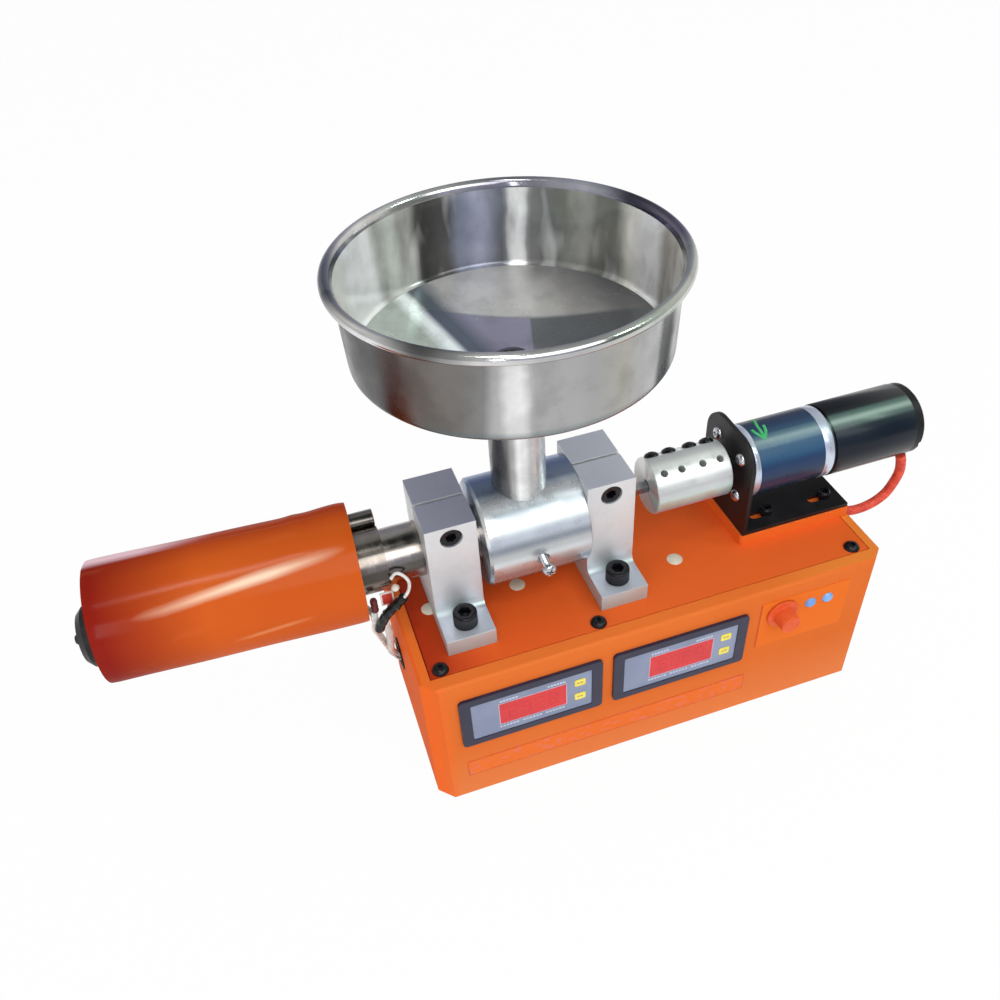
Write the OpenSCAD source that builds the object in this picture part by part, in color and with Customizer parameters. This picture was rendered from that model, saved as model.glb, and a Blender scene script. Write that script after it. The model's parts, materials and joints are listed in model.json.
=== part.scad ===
// Desktop filament extruder: a heated barrel, feed hopper and gear motor
// on a case with two panel meters. Millimetres, +Z up.
// The drive line runs along X at y = 0, with the nozzle towards -X.
// The origin is on the floor, under the middle of the machine.

/* [Case] */
// Length of the case along the drive line
case_len = 272; // [260:1:300]
// Distance from the drive line to the front of the case
case_front = 63; // [60:1:75]
// Distance from the drive line to the back of the case
case_back = 49; // [48:1:60]
// Height of the case
case_h = 101; // [90:1:130]
// Thickness of the case walls
case_wall = 4; // [3:0.5:5]
// Chamfer on the upright corners of the case
case_chamfer = 8; // [4:1:12]
// Bevel along the top edges of the case
case_bevel = 1.5; // [0.5:0.5:2]
// Width of the rim beside and behind the top plate
rim_w = 6.2; // [5:0.2:8]
// Width of the rim in front of the top plate
front_rim_w = 8.2; // [6:0.2:9]
// Thickness of the top plate
plate_t = 4; // [3:0.5:6]
// Width of the seam around the top plate
seam_w = 0.5; // [0.3:0.1:1]
// Thickness of the cover under the case
cover_t = 3; // [2:0.5:5]

/* [Panel meters] */
// Width of a panel meter
meter_w = 81.2; // [79:0.2:82]
// Height of a panel meter
meter_h = 39.5; // [38:0.5:43]
// How far a meter frame stands out of the case
meter_proud = 2; // [1.5:0.5:5]
// Width of the frame beside a meter face
meter_border = 6.2; // [5:0.2:8]
// Distance from the top of the case to the meters
meter_drop = 13.2; // [10:0.1:16]

/* [Bearing blocks] */
// Thickness of a bearing block along the drive line
block_len = 27; // [26:0.5:30]
// Width of a block across its feet
block_w = 86; // [82:1:88]
// Width of the upright part of a block
block_neck = 44; // [42:1:48]
// Height of a block
block_h = 70.3; // [68:0.1:74]
// Thickness of the feet of a block
foot_t = 10.5; // [9:0.5:12]
// Height of the drive line above the top plate
axis_rise = 41; // [40:0.5:44]
// Distance between like faces of the two blocks
block_pitch = 86.7; // [80:0.1:90]
// Diameter of the clamped bore in a block
block_bore = 30; // [28:1:32]

/* [Barrel and heater] */
// Diameter of the barrel
barrel_d = 30; // [28:1:30]
// Bore of the barrel
barrel_bore = 14; // [12:0.5:16]
// Outer diameter of the heater sleeve
sleeve_d = 63; // [58:1:66]
// Length of the heater sleeve
sleeve_len = 128; // [110:1:135]
// Downward tilt of the heater sleeve towards the motor, in degrees
sleeve_tilt = 1.6; // [0:0.1:2]
// Sideways turn of the sleeve towards the back at its nozzle end, in degrees
sleeve_yaw = 1.6; // [0:0.1:2]

/* [Feed and hopper] */
// Diameter of the feed housing
housing_d = 59.6; // [56:0.2:62]
// Length of the feed housing
housing_len = 56; // [50:0.5:57]
// Outer diameter of the hopper rim
hopper_d = 162; // [150:1:170]
// Height of the hopper rim above the top plate
hopper_rise = 198; // [185:1:205]
// Depth of the hopper bowl
hopper_depth = 54.5; // [45:0.5:60]
// Thickness of the hopper sheet
hopper_t = 1.2; // [1:0.1:2]
// Diameter of the hopper neck tube
neck_d = 28.6; // [24:0.2:32]

/* [Drive] */
// Diameter of the shaft coupling
coupling_d = 32.6; // [30:0.2:34]
// Length of the shaft coupling
coupling_len = 45; // [40:0.5:46]
// Diameter of the gearbox
gearbox_d = 42; // [40:0.5:43]
// Diameter of the motor
motor_d = 42.6; // [38:0.2:43]
// Thickness of the motor bracket
bracket_t = 2.5; // [2:0.5:4]
// Width of the motor bracket
bracket_w = 51; // [48:1:54]
// Height of the pad under the motor bracket
riser_h = 7; // [5:0.5:9]

/* [Hidden] */

fit_gap = 0.05;
$fn = 96;

// Stations along the drive line, from the nozzle to the motor
half_len = 236;
block_x = -61.2;
block2_x = block_x + block_pitch;
case_x = block_x - 19.5;
housing_x = block2_x - housing_len;
sleeve_x = block_x - 161.6;
band_end_x = block_x - 19.3;
cap_x = block_x - 171;
coupling_x = block_x + 131;
upright_x = block_x + 180.8;
bracket_end_x = block_x + 249.5;
flange_x = upright_x + bracket_t;
ring1_x = flange_x + 2.2;
gear_x = block_x + 190.8;
ring2_x = block_x + 230.7;
motor_x = ring2_x + 6;
end_cap_x = half_len - 7;
hopper_x = block_x + 57.1;

plate_z = case_h;
axis_z = case_h + axis_rise;
front_y = -case_front;
case_d = case_front + case_back;
meter_z = case_h - meter_drop - meter_h;
meter1_x = case_x + 16.9;
meter2_x = case_x + 104.7;
bowl_z = plate_z + hopper_rise - hopper_depth;

function circle_points(r, n) = [for (i = [0 : n - 1]) [r * cos(i * 360 / n), r * sin(i * 360 / n)]];

// Rounded rectangle with its lower left corner at the origin
module rounded_rect(w, h, r) {
    translate([r, 0]) square([w - 2 * r, h]);
    translate([0, r]) square([w, h - 2 * r]);
    for (x = [r, w - r], y = [r, h - r])
        translate([x, y]) circle(r = r, $fn = 32);
}

// A plate on the front of the case: x, z of its lower left corner, depth out and depth in
module front_plate(x, z, w, h, r, proud, sunk) {
    translate([x, front_y + sunk, z])
        rotate([90, 0, 0])
            linear_extrude(proud + sunk) rounded_rect(w, h, r);
}

// A round bar along X
module bar_x(x, len, d) {
    translate([x, 0, axis_z]) rotate([0, 90, 0]) cylinder(d = d, h = len);
}

// A socket head cap screw pointing down, its head resting on z = 0
module cap_screw(head_d, head_h, shank_d, shank_len, socket_w) {
    difference() {
        cylinder(d = head_d, h = head_h);
        translate([0, 0, head_h * 0.45]) cylinder(d = socket_w * 1.1547, h = head_h, $fn = 6);
    }
    translate([0, 0, -shank_len]) cylinder(d = shank_d, h = shank_len + 0.01);
}

// A button head screw pointing down, its head resting on z = 0
module button_screw(head_d, head_h, shank_d, shank_len, socket_w) {
    difference() {
        intersection() {
            translate([0, 0, head_h - head_d * 0.75]) sphere(r = head_d * 0.75, $fn = 64);
            cylinder(d = head_d, h = head_h);
        }
        translate([0, 0, head_h * 0.4]) cylinder(d = socket_w * 1.1547, h = head_h, $fn = 6);
    }
    translate([0, 0, -shank_len]) cylinder(d = shank_d, h = shank_len + 0.01);
}

// Case ------------------------------------------------------------------

plate_screw_d = 3;
front_screws = [13, 101.5, 257];
screw_inset = 13;
foot_bolt_y = 32.5;
foot_bolt_d = 8;
block_xs = [block_x, block2_x];
plug_spots = [[18.5, -7.1], [69.8, -7.8], [160.2, -21.9]];
plug_d = 9;
bracket_bolt_x = [20.9, 59.1];
bracket_bolt_y = 15;
bracket_screw_d = 4;
knob_x = case_x + 207.5;
knob_z = case_h - 21;
lamp_x = [case_x + 225.7, case_x + 236.7];
lamp_z = case_h - 20;
lamp_d = 7;
strip_len = 172.5;
strip_h = 13.2;
strip_x = case_x + 18;
strip_z = case_h - 83;
panel_x = case_x + 194;
panel_len = 56;
panel_h = 36.7;
panel_z = case_h - 46.8;
cable_hole = [case_x + case_len, -15, case_h - 9];
lead_hole = [case_x, 13.5, case_h - 54.5];
cable_d = 6;
grommet_d = 9;
lead_hole_d = 16;

module case_outline(l, d, c) {
    polygon([[c, 0], [l - c, 0], [l, c], [l, d - c], [l - c, d], [c, d], [0, d - c], [0, c]]);
}

module case_block() {
    intersection() {
        translate([case_x, front_y, 0])
            linear_extrude(case_h) case_outline(case_len, case_d, case_chamfer);
        // bevel along the front and back top edges
        translate([case_x, front_y, 0])
            rotate([90, 0, 90])
                linear_extrude(case_len)
                    polygon([[0, 0], [case_d, 0], [case_d, case_h - case_bevel],
                        [case_d - case_bevel, case_h], [case_bevel, case_h], [0, case_h - case_bevel]]);
        // bevel along the left and right top edges
        translate([case_x, front_y + case_d, 0])
            rotate([90, 0, 0])
                linear_extrude(case_d)
                    polygon([[0, 0], [case_len, 0], [case_len, case_h - case_bevel],
                        [case_len - case_bevel, case_h], [case_bevel, case_h], [0, case_h - case_bevel]]);
    }
}

module plate_outline(gap) {
    translate([case_x + rim_w + gap, front_y + front_rim_w + gap])
        square([case_len - 2 * (rim_w + gap), case_d - front_rim_w - rim_w - 2 * gap]);
}

module cavity_outline(inset) {
    translate([case_x + inset, front_y + inset])
        case_outline(case_len - 2 * inset, case_d - 2 * inset, case_chamfer);
}

ledge = 8;
meter_cut_w = 72;
meter_cut_h = 34;

module meter_cutout(x) {
    translate([x + (meter_w - meter_cut_w) / 2, front_y - 1, meter_z + (meter_h - meter_cut_h) / 2])
        cube([meter_cut_w, case_wall + ledge, meter_cut_h]);
}

module base_case() {
    color([0.92, 0.42, 0.15])
        difference() {
            case_block();
            translate([0, 0, case_h - plate_t]) linear_extrude(plate_t + 1) plate_outline(0);
            // the room inside, open at the bottom and under the plate
            translate([0, 0, -1]) linear_extrude(case_h - plate_t - ledge + 1) cavity_outline(case_wall);
            translate([0, 0, case_h - plate_t - ledge - 1])
                linear_extrude(ledge + 2) cavity_outline(rim_w + ledge);
            // threaded holes for the plate screws
            at_plate_screws()
                translate([0, 0, -plate_t - ledge]) cylinder(d = plate_screw_d + 0.1, h = 2 * ledge);
            // the ends of the back foot bolts
            at_foot_bolts()
                translate([0, 0, -foot_t - plate_t - ledge - 1]) cylinder(d = foot_bolt_d + 1, h = 2 * ledge);
            meter_cutout(meter1_x);
            meter_cutout(meter2_x);
            translate([knob_x, front_y - 1, knob_z])
                rotate([-90, 0, 0]) cylinder(d = 7.4, h = case_wall + 2);
            for (x = lamp_x)
                translate([x, front_y - 1, lamp_z])
                    rotate([-90, 0, 0]) cylinder(d = 5.4, h = case_wall + 2);
            translate(cable_hole)
                rotate([0, -90, 0]) translate([0, 0, -1]) cylinder(d = grommet_d - 1.4, h = 20);
            translate(lead_hole)
                rotate([0, 90, 0]) translate([0, 0, -1]) cylinder(d = lead_hole_d, h = case_wall + 2);
        }
}

module base_cover() {
    color([0.16, 0.16, 0.17])
        linear_extrude(cover_t) cavity_outline(case_wall + 0.3);
}

module at_plate_screws() {
    for (x = front_screws)
        translate([case_x + x, front_y + screw_inset, plate_z]) children();
    for (x = [front_screws[0], front_screws[2]])
        translate([case_x + x, case_back - screw_inset, plate_z]) children();
}

module at_foot_bolts() {
    for (x = block_xs, y = [-foot_bolt_y, foot_bolt_y])
        translate([x + block_len / 2, y, plate_z + foot_t]) children();
}

module at_bracket_bolts() {
    for (x = bracket_bolt_x, y = [-bracket_bolt_y, bracket_bolt_y])
        translate([upright_x + x, y, plate_z + riser_h + bracket_t]) children();
}

module top_plate() {
    color([0.80, 0.32, 0.13])
        difference() {
            translate([0, 0, plate_z - plate_t]) linear_extrude(plate_t) plate_outline(seam_w);
            at_plate_screws()
                translate([0, 0, -plate_t - 1]) cylinder(d = plate_screw_d + 0.4, h = plate_t + 2);
            at_foot_bolts()
                translate([0, 0, -foot_t - plate_t - 1]) cylinder(d = foot_bolt_d + 0.6, h = plate_t + 2);
            at_bracket_bolts()
                translate([0, 0, -bracket_t - riser_h - plate_t - 1])
                    cylinder(d = bracket_screw_d + 0.2, h = plate_t + 2);
            for (p = plug_spots)
                translate([case_x + p[0], p[1], plate_z - plate_t - 1])
                    cylinder(d = plug_d - 1.5, h = plate_t + 2);
        }
}

module plate_screws() {
    color([0.06, 0.06, 0.07])
        at_plate_screws() button_screw(9, 3, plate_screw_d, 9, 2.5);
}

module hole_plugs() {
    color([0.93, 0.92, 0.88])
        difference() {
            for (p = plug_spots)
                translate([case_x + p[0], p[1], plate_z]) {
                    intersection() {
                        translate([0, 0, 1.2 - plug_d]) sphere(r = plug_d, $fn = 64);
                        cylinder(d = plug_d, h = 2);
                    }
                    translate([0, 0, -plate_t]) cylinder(d = plug_d - 1.7, h = plate_t + 0.01);
                }
            // the left plug is trimmed where the bearing block stands
            translate([block_x, -block_w / 2, plate_z]) cube([block_len, block_w, 3]);
        }
}

riser_x = upright_x - 1;
module motor_riser() {
    color([0.90, 0.40, 0.14])
        difference() {
            translate([riser_x, -bracket_w / 2 - 0.7, plate_z])
                linear_extrude(riser_h) rounded_rect(bracket_end_x - riser_x + 1, bracket_w + 1.4, 2);
            at_bracket_bolts()
                translate([0, 0, -bracket_t - riser_h - 1])
                    cylinder(d = bracket_screw_d + 0.4, h = riser_h + 2);
        }
}

// Panel meters ------------------------------------------------------------

window_w = 38.2;
window_h = 17.4;
window_x = 21.8;
window_z = 11.3;
key_w = 6.4;
key_h = 5.4;
key_x = 68;
key_zs = [14.5, 26.4];
meter_body_depth = 24;
border_top = 5;
border_bottom = 4.5;
face_sunk = 0.5;
face_t = 1;

module meter_frame(x) {
    difference() {
        union() {
            front_plate(x, meter_z, meter_w, meter_h, 2.5, meter_proud, 0);
            front_plate(x + (meter_w - meter_cut_w) / 2 + 0.2, meter_z + (meter_h - meter_cut_h) / 2 + 0.2,
                meter_cut_w - 0.4, meter_cut_h - 0.4, 1, 0, meter_body_depth);
        }
        front_plate(x + meter_border, meter_z + border_bottom, meter_w - 2 * meter_border,
            meter_h - border_top - border_bottom, 1, meter_proud + 1, -meter_proud + face_sunk + face_t);
    }
}

face_y = meter_proud - face_sunk - face_t;
module meter_face(x) {
    difference() {
        front_plate(x + meter_border + 0.1, meter_z + border_bottom + 0.1, meter_w - 2 * meter_border - 0.2,
            meter_h - border_top - border_bottom - 0.2, 0.9, face_y + face_t, -face_y);
        front_plate(x + window_x, meter_z + window_z, window_w, window_h, 0.6, meter_proud, -face_y + 0.5);
    }
}

module left_meter_frame() {
    color([0.16, 0.17, 0.26]) meter_frame(meter1_x);
}

module right_meter_frame() {
    color([0.16, 0.17, 0.26]) meter_frame(meter2_x);
}

module left_meter_face() {
    color([0.50, 0.55, 0.65]) meter_face(meter1_x);
}

module right_meter_face() {
    color([0.50, 0.55, 0.65]) meter_face(meter2_x);
}

module meter_windows() {
    color([0.78, 0.10, 0.12])
        for (x = [meter1_x, meter2_x])
            front_plate(x + window_x + 0.1, meter_z + window_z + 0.1,
                window_w - 0.2, window_h - 0.2, 0.5, face_y + face_t + 0.2, -face_y);
}

module meter_keys() {
    color([0.93, 0.86, 0.30])
        for (x = [meter1_x, meter2_x], z = key_zs)
            front_plate(x + key_x - key_w / 2, meter_z + z - key_h / 2,
                key_w, key_h, 1, face_y + face_t + 0.3, -face_y - face_t);
}

module caption_strip() {
    color([0.90, 0.45, 0.25]) front_plate(strip_x, strip_z, strip_len, strip_h, 0.5, 0.4, 0);
}

module knob_panel() {
    color([0.92, 0.42, 0.15])
        difference() {
            front_plate(panel_x, panel_z, panel_len, panel_h, 1, 0.4, 0);
            translate([knob_x, front_y - 2, knob_z]) rotate([-90, 0, 0]) cylinder(d = 8, h = 4);
            for (x = lamp_x)
                translate([x, front_y - 2, lamp_z]) rotate([-90, 0, 0]) cylinder(d = 6, h = 4);
        }
}

skirt_d = 19;
skirt_t = 1.2;
knob_d = 12.4;
knob_len = 10;
knob_ribs = 20;
rib_groove_d = 1;
module speed_knob() {
    color([0.88, 0.33, 0.15])
        translate([knob_x, front_y - 1, knob_z])
            rotate([90, 0, 0]) {
                difference() {
                    union() {
                        cylinder(d = skirt_d, h = skirt_t);
                        cylinder(d = knob_d, h = knob_len);
                    }
                    for (i = [0 : knob_ribs - 1])
                        rotate([0, 0, i * 360 / knob_ribs])
                            translate([knob_d / 2 + 0.1, 0, skirt_t + 0.8])
                                cylinder(d = rib_groove_d, h = knob_len, $fn = 16);
                    translate([-0.4, knob_d / 2 - 4.5, knob_len - 0.4]) cube([0.8, 4, 1]);
                }
                translate([0, 0, -case_wall - 3]) cylinder(d = 6, h = case_wall + 3.01);
            }
}

module indicator_lamps() {
    color([0.40, 0.62, 0.85])
        for (x = lamp_x)
            translate([x, front_y - 0.4, lamp_z])
                rotate([90, 0, 0]) {
                    cylinder(d = lamp_d, h = 1);
                    intersection() {
                        translate([0, 0, -1]) sphere(d = 6.4, $fn = 48);
                        cylinder(d = 5, h = 4);
                    }
                    translate([0, 0, -case_wall - 3]) cylinder(d = 5, h = case_wall + 3.01);
                }
}

// Bearing blocks ------------------------------------------------------------

foot_fillet = 4;
clamp_rise = 62.3;
clamp_head_d = 11.4;
clamp_head_h = 8;
slit_w = 1.6;

module foot_corner(side) {
    // fillet between the upright and one foot
    translate([0, side * block_neck / 2, foot_t])
        rotate([90, 0, 90])
            linear_extrude(block_len)
                difference() {
                    scale([side, 1]) square(foot_fillet);
                    translate([side * foot_fillet, foot_fillet]) circle(r = foot_fillet, $fn = 48);
                }
}

module bearing_block(x) {
    translate([x, 0, plate_z])
        difference() {
            union() {
                translate([0, -block_w / 2, 0]) cube([block_len, block_w, foot_t]);
                translate([0, -block_neck / 2, 0]) cube([block_len, block_neck, block_h]);
                for (side = [-1, 1]) foot_corner(side);
            }
            translate([-1, 0, axis_rise])
                rotate([0, 90, 0]) cylinder(d = block_bore + 2 * fit_gap, h = block_len + 2);
            translate([-1, -slit_w / 2, axis_rise]) cube([block_len + 2, slit_w, block_h]);
            // clamp screw with its counterbore in the front
            translate([block_len / 2, 0, clamp_rise])
                rotate([90, 0, 0]) {
                    translate([0, 0, -block_neck / 2 - 1]) cylinder(d = 8.4, h = block_neck + 2);
                    translate([0, 0, block_neck / 2 - clamp_head_h - 0.6])
                        cylinder(d = clamp_head_d + 0.4, h = 20);
                }
            for (y = [-foot_bolt_y, foot_bolt_y])
                translate([block_len / 2, y, -1]) cylinder(d = foot_bolt_d + 0.8, h = foot_t + 30);
        }
}

module left_bearing_block() {
    color([0.80, 0.80, 0.80]) bearing_block(block_x);
}

module right_bearing_block() {
    color([0.80, 0.80, 0.80]) bearing_block(block2_x);
}

module clamp_screws() {
    color([0.06, 0.06, 0.07])
        for (x = block_xs)
            translate([x + block_len / 2, -block_neck / 2 + clamp_head_h + 0.6, plate_z + clamp_rise])
                rotate([90, 0, 0]) cap_screw(clamp_head_d, clamp_head_h, 8, block_neck - clamp_head_h - 3, 5);
}

module foot_bolts() {
    color([0.06, 0.06, 0.07])
        at_foot_bolts() cap_screw(13, 8.5, foot_bolt_d, foot_t + plate_t + 8, 6);
}

// Feed housing and hopper ------------------------------------------------------

spigot_len = block_len + 1.5;
pocket = 14;
neck_sink = 12;
throat_d = 18;
shank_d = 7.33;
screw_angle = 4.5;
screw_seat = housing_d / 2 - 3.5;
screw_head_r = 37.4;
screw_head_d = 7.8;
screw_head_h = 2.8;

module feed_housing() {
    color([0.74, 0.77, 0.80])
        difference() {
            union() {
                // turned body with chamfered ends
                translate([housing_x, 0, axis_z])
                    rotate([0, 90, 0])
                        rotate_extrude()
                            polygon([[0, 0], [housing_d / 2 - 1.5, 0], [housing_d / 2, 1.5],
                                [housing_d / 2, housing_len - 0.6], [housing_d / 2 - 0.6, housing_len],
                                [0, housing_len]]);
                bar_x(block2_x - 0.01, spigot_len, block_bore - 2 * fit_gap);
            }
            bar_x(housing_x - 1, pocket + 1, barrel_d + 2 * fit_gap);
            bar_x(housing_x, housing_len + 1, barrel_bore);
            bar_x(block2_x, block_len + 10, shank_d + 0.7);
            translate([hopper_x, 0, axis_z]) cylinder(d = throat_d, h = housing_d);
            translate([hopper_x, 0, axis_z + housing_d / 2 - neck_sink])
                cylinder(d = neck_d + 2 * fit_gap, h = housing_d);
            // tapped hole for the screw at the front, wider at its mouth
            in_screw_line() translate([0, 0, screw_seat - 10]) cylinder(d = 4.6, h = 20);
            in_screw_line() translate([0, 0, screw_seat]) cylinder(d = 7, h = 10);
        }
}

module in_screw_line() {
    translate([hopper_x + 2, 0, axis_z]) rotate([screw_angle, 0, 0]) rotate([90, 0, 0]) children();
}

module housing_screw() {
    color([0.82, 0.83, 0.84])
        in_screw_line() {
            translate([0, 0, screw_seat - 9]) cylinder(d = 4.4, h = screw_head_r - screw_seat + 9.01);
            // domed head with a cross recess
            difference() {
                translate([0, 0, screw_head_r])
                    intersection() {
                        cylinder(d = screw_head_d, h = screw_head_h);
                        translate([0, 0, screw_head_h - 5.4]) sphere(r = 5.4, $fn = 64);
                    }
                for (a = [0, 90])
                    rotate([0, 0, a + 20])
                        translate([-2.3, -0.5, screw_head_r + screw_head_h - 1.6]) cube([4.6, 1, 3]);
            }
        }
}

bead_r = 2.7;
bowl_r = hopper_d / 2 - 2 * bead_r + 0.6;
bowl_floor_r = bowl_r - 1.3;
bowl_corner = 4;
bowl_dish = 9.4;
bowl_top = hopper_depth - bead_r;

// Outer profile of the bowl from the middle of its dished floor to the rim
function bowl_profile(inset) = concat(
    [[0, inset], [neck_d / 2 + 1, inset]],
    [for (a = [-80 : 8 : 0]) [bowl_floor_r - bowl_corner + (bowl_corner - inset) * cos(a),
        bowl_dish + bowl_corner + (bowl_corner - inset) * sin(a)]]);

module hopper_bowl() {
    color([0.70, 0.69, 0.67])
        translate([hopper_x, 0, bowl_z])
            difference() {
                rotate_extrude($fn = 128)
                    union() {
                        polygon(concat(bowl_profile(0), [[bowl_r, bowl_top], [0, bowl_top]]));
                        translate([hopper_d / 2 - bead_r, bowl_top]) circle(r = bead_r, $fn = 24);
                    }
                rotate_extrude($fn = 128)
                    polygon(concat(bowl_profile(hopper_t), [[bowl_r - hopper_t, bowl_top],
                        [bowl_r - hopper_t, hopper_depth + 1], [0, hopper_depth + 1]]));
                translate([0, 0, -1]) cylinder(d = throat_d, h = 12);
            }
}

module hopper_neck() {
    color([0.70, 0.69, 0.67])
        translate([hopper_x, 0, axis_z + housing_d / 2 - neck_sink])
            difference() {
                cylinder(d = neck_d, h = bowl_z - axis_z - housing_d / 2 + neck_sink);
                translate([0, 0, -1]) cylinder(d = throat_d, h = 200);
            }
}

// Barrel, heater and nozzle ------------------------------------------------------

band_d = 34;
band_x = sleeve_x + 6;
band_gap = 1;
band_gap_angle = 52;
rod_d = 9.4;
rod_angle = 44;
rod_pitch = (band_d + rod_d) / 2 + 0.02;
insulation_d = sleeve_d - 3.4;
cap_d = 31;
cap_len = 8;
cap_bore = barrel_d - 3;
nozzle_len = cap_x + half_len;

module barrel() {
    color([0.66, 0.66, 0.66])
        difference() {
            union() {
                bar_x(cap_x + 3, 6, cap_bore - 0.1);
                bar_x(cap_x + cap_len, housing_x + pocket - cap_x - cap_len, barrel_d);
            }
            bar_x(cap_x - 1, 400, barrel_bore);
        }
}

module heater_band() {
    color([0.70, 0.68, 0.64])
        difference() {
            bar_x(band_x, band_end_x - band_x, band_d);
            bar_x(band_x - 1, 400, barrel_d + 2 * fit_gap);
            // the gap where the band closes
            rotate_about_axis(-band_gap_angle)
                translate([band_x - 1, -band_d, -band_gap / 2]) cube([400, band_d, band_gap]);
        }
}

module rotate_about_axis(a) {
    translate([0, 0, axis_z]) rotate([a, 0, 0]) children();
}

module heater_rod() {
    color([0.60, 0.58, 0.56])
        rotate_about_axis(rod_angle)
            translate([band_x + 20, rod_pitch, 0])
                rotate([0, 90, 0]) cylinder(d = rod_d, h = band_end_x - band_x - 20);
}

// The frame of the sleeve: along +Z from its middle at the motor end
module in_sleeve() {
    translate([sleeve_x + sleeve_len, 0.4, axis_z + 0.7])
        rotate([0, sleeve_tilt, -sleeve_yaw])
            rotate([0, -90, 0]) children();
}

module insulation() {
    color([0.90, 0.88, 0.82])
        difference() {
            in_sleeve() translate([0, 0, 3]) cylinder(d = insulation_d, h = sleeve_len - 7);
            bar_x(sleeve_x - 5, 400, band_d + 0.6);
            rotate_about_axis(rod_angle)
                translate([sleeve_x, rod_pitch, 0]) rotate([0, 90, 0]) cylinder(d = rod_d + 0.6, h = 400);
        }
}

module heater_sleeve() {
    color([0.82, 0.30, 0.12])
        in_sleeve()
            difference() {
                cylinder(d = sleeve_d, h = sleeve_len);
                translate([0, 0, -1]) cylinder(d = insulation_d + 0.1, h = sleeve_len + 2);
            }
}

module die_cap() {
    color([0.05, 0.05, 0.05])
        difference() {
            translate([cap_x, 0, axis_z])
                rotate([0, 90, 0])
                    rotate_extrude()
                        polygon([[0, 0], [cap_d / 2 - 3, 0], [cap_d / 2, 3], [cap_d / 2, cap_len],
                            [0, cap_len]]);
            bar_x(cap_x + 3, 20, cap_bore);
            bar_x(cap_x - 1, 10, 6);
        }
}

module nozzle() {
    color([0.10, 0.10, 0.10])
        difference() {
            union() {
                translate([-half_len, 0, axis_z])
                    rotate([0, 90, 0])
                        rotate_extrude()
                            polygon([[0, 0], [2, 0], [4, 2.5], [4, nozzle_len], [0, nozzle_len]]);
                bar_x(cap_x - 0.1, 4, 5.9);
            }
            bar_x(-half_len - 1, 20, 1.75);
        }
}

// Drive line ---------------------------------------------------------------

screw_core = 8;
screw_flight_d = 13;
screw_tip_x = cap_x + 12;
screw_end_x = block2_x - 6;
coupling_hole_x = [6, 16.4, 29, 39.5];
set_angle = 58;
flat_angle = 120;
flat_depth = 0.6;

module feed_screw() {
    color([0.55, 0.55, 0.56]) {
        bar_x(screw_tip_x, screw_end_x - screw_tip_x, screw_core);
        bar_x(screw_end_x - 2, 4, screw_flight_d - 0.6);
        // hexagonal shank into the coupling
        translate([screw_end_x, 0, axis_z])
            rotate([0, 90, 0]) cylinder(d = shank_d, h = coupling_x + 16 - screw_end_x, $fn = 6);
    }
}

module coupling() {
    color([0.80, 0.80, 0.79])
        difference() {
            translate([coupling_x, 0, axis_z])
                rotate([0, 90, 0])
                    rotate_extrude()
                        polygon([[0, 0], [coupling_d / 2 - 0.5, 0], [coupling_d / 2, 0.5],
                            [coupling_d / 2, coupling_len - 0.5], [coupling_d / 2 - 0.5, coupling_len],
                            [0, coupling_len]]);
            bar_x(coupling_x - 1, 19, shank_d + 0.2);
            bar_x(coupling_x + 22, 40, 8 + 2 * fit_gap);
            bar_x(coupling_x + 15, 10, 5);
            for (x = coupling_hole_x) {
                rotate_about_axis(-set_angle) translate([coupling_x + x, 0, 0])
                    rotate([90, 0, 0]) cylinder(d = 4.2, h = coupling_d);
                rotate_about_axis(-flat_angle) translate([coupling_x + x, 0, 0])
                    rotate([90, 0, 0]) cylinder(d = 4.2, h = coupling_d);
            }
            rotate_about_axis(-flat_angle)
                translate([coupling_x - 1, -coupling_d / 2 - 5 + flat_depth, -20])
                    cube([coupling_len + 2, 5, 40]);
        }
}

module coupling_screws() {
    color([0.06, 0.06, 0.07])
        for (x = coupling_hole_x)
            rotate_about_axis(-flat_angle)
                translate([coupling_x + x, -coupling_d / 2 + flat_depth, 0])
                    rotate([90, 0, 0]) button_screw(8.4, 2.4, 4, 10, 3);
}

module gearbox_shaft() {
    color([0.75, 0.75, 0.76])
        bar_x(coupling_x + 26, gear_x - coupling_x - 26.5, 8);
}

// Motor, gearbox and bracket ---------------------------------------------------

slot_w = 5;
slot_len = 8;
bracket_top = 26.5;
bracket_corner = 16;
module motor_bracket() {
    base_z = plate_z + riser_h;
    color([0.07, 0.07, 0.08])
        difference() {
            union() {
                // upright with rounded top corners
                translate([upright_x, -bracket_w / 2, base_z])
                    rotate([90, 0, 90])
                        linear_extrude(bracket_t) {
                            rounded_rect(bracket_w, axis_z + bracket_top - base_z, bracket_corner);
                            square([bracket_w, bracket_corner]);
                        }
                translate([upright_x, -bracket_w / 2, base_z])
                    cube([bracket_end_x - upright_x, bracket_w, bracket_t]);
            }
            bar_x(upright_x - 1, bracket_t + 2, 14);
            at_gearbox_screws() translate([0, 0, -6]) cylinder(d = 4.4, h = 12);
            for (y = [-bracket_bolt_y, bracket_bolt_y], x = bracket_bolt_x)
                translate([upright_x + x, y, base_z - 1]) {
                    cylinder(d = slot_w, h = bracket_t + 2);
                    translate([-slot_len, -slot_w / 2, 0]) cube([slot_len, slot_w, bracket_t + 2]);
                    translate([-slot_len, 0, 0]) cylinder(d = slot_w, h = bracket_t + 2);
                }
        }
}

gearbox_screw_r = 18.4;
module at_gearbox_screws() {
    for (a = [45 : 90 : 315])
        translate([upright_x, gearbox_screw_r * cos(a), axis_z + gearbox_screw_r * sin(a)])
            rotate([0, -90, 0]) children();
}

module bracket_screws() {
    color([0.10, 0.10, 0.11])
        at_bracket_bolts() cap_screw(7, 4, bracket_screw_d, bracket_t + riser_h + plate_t - 0.5, 3);
}

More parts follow.
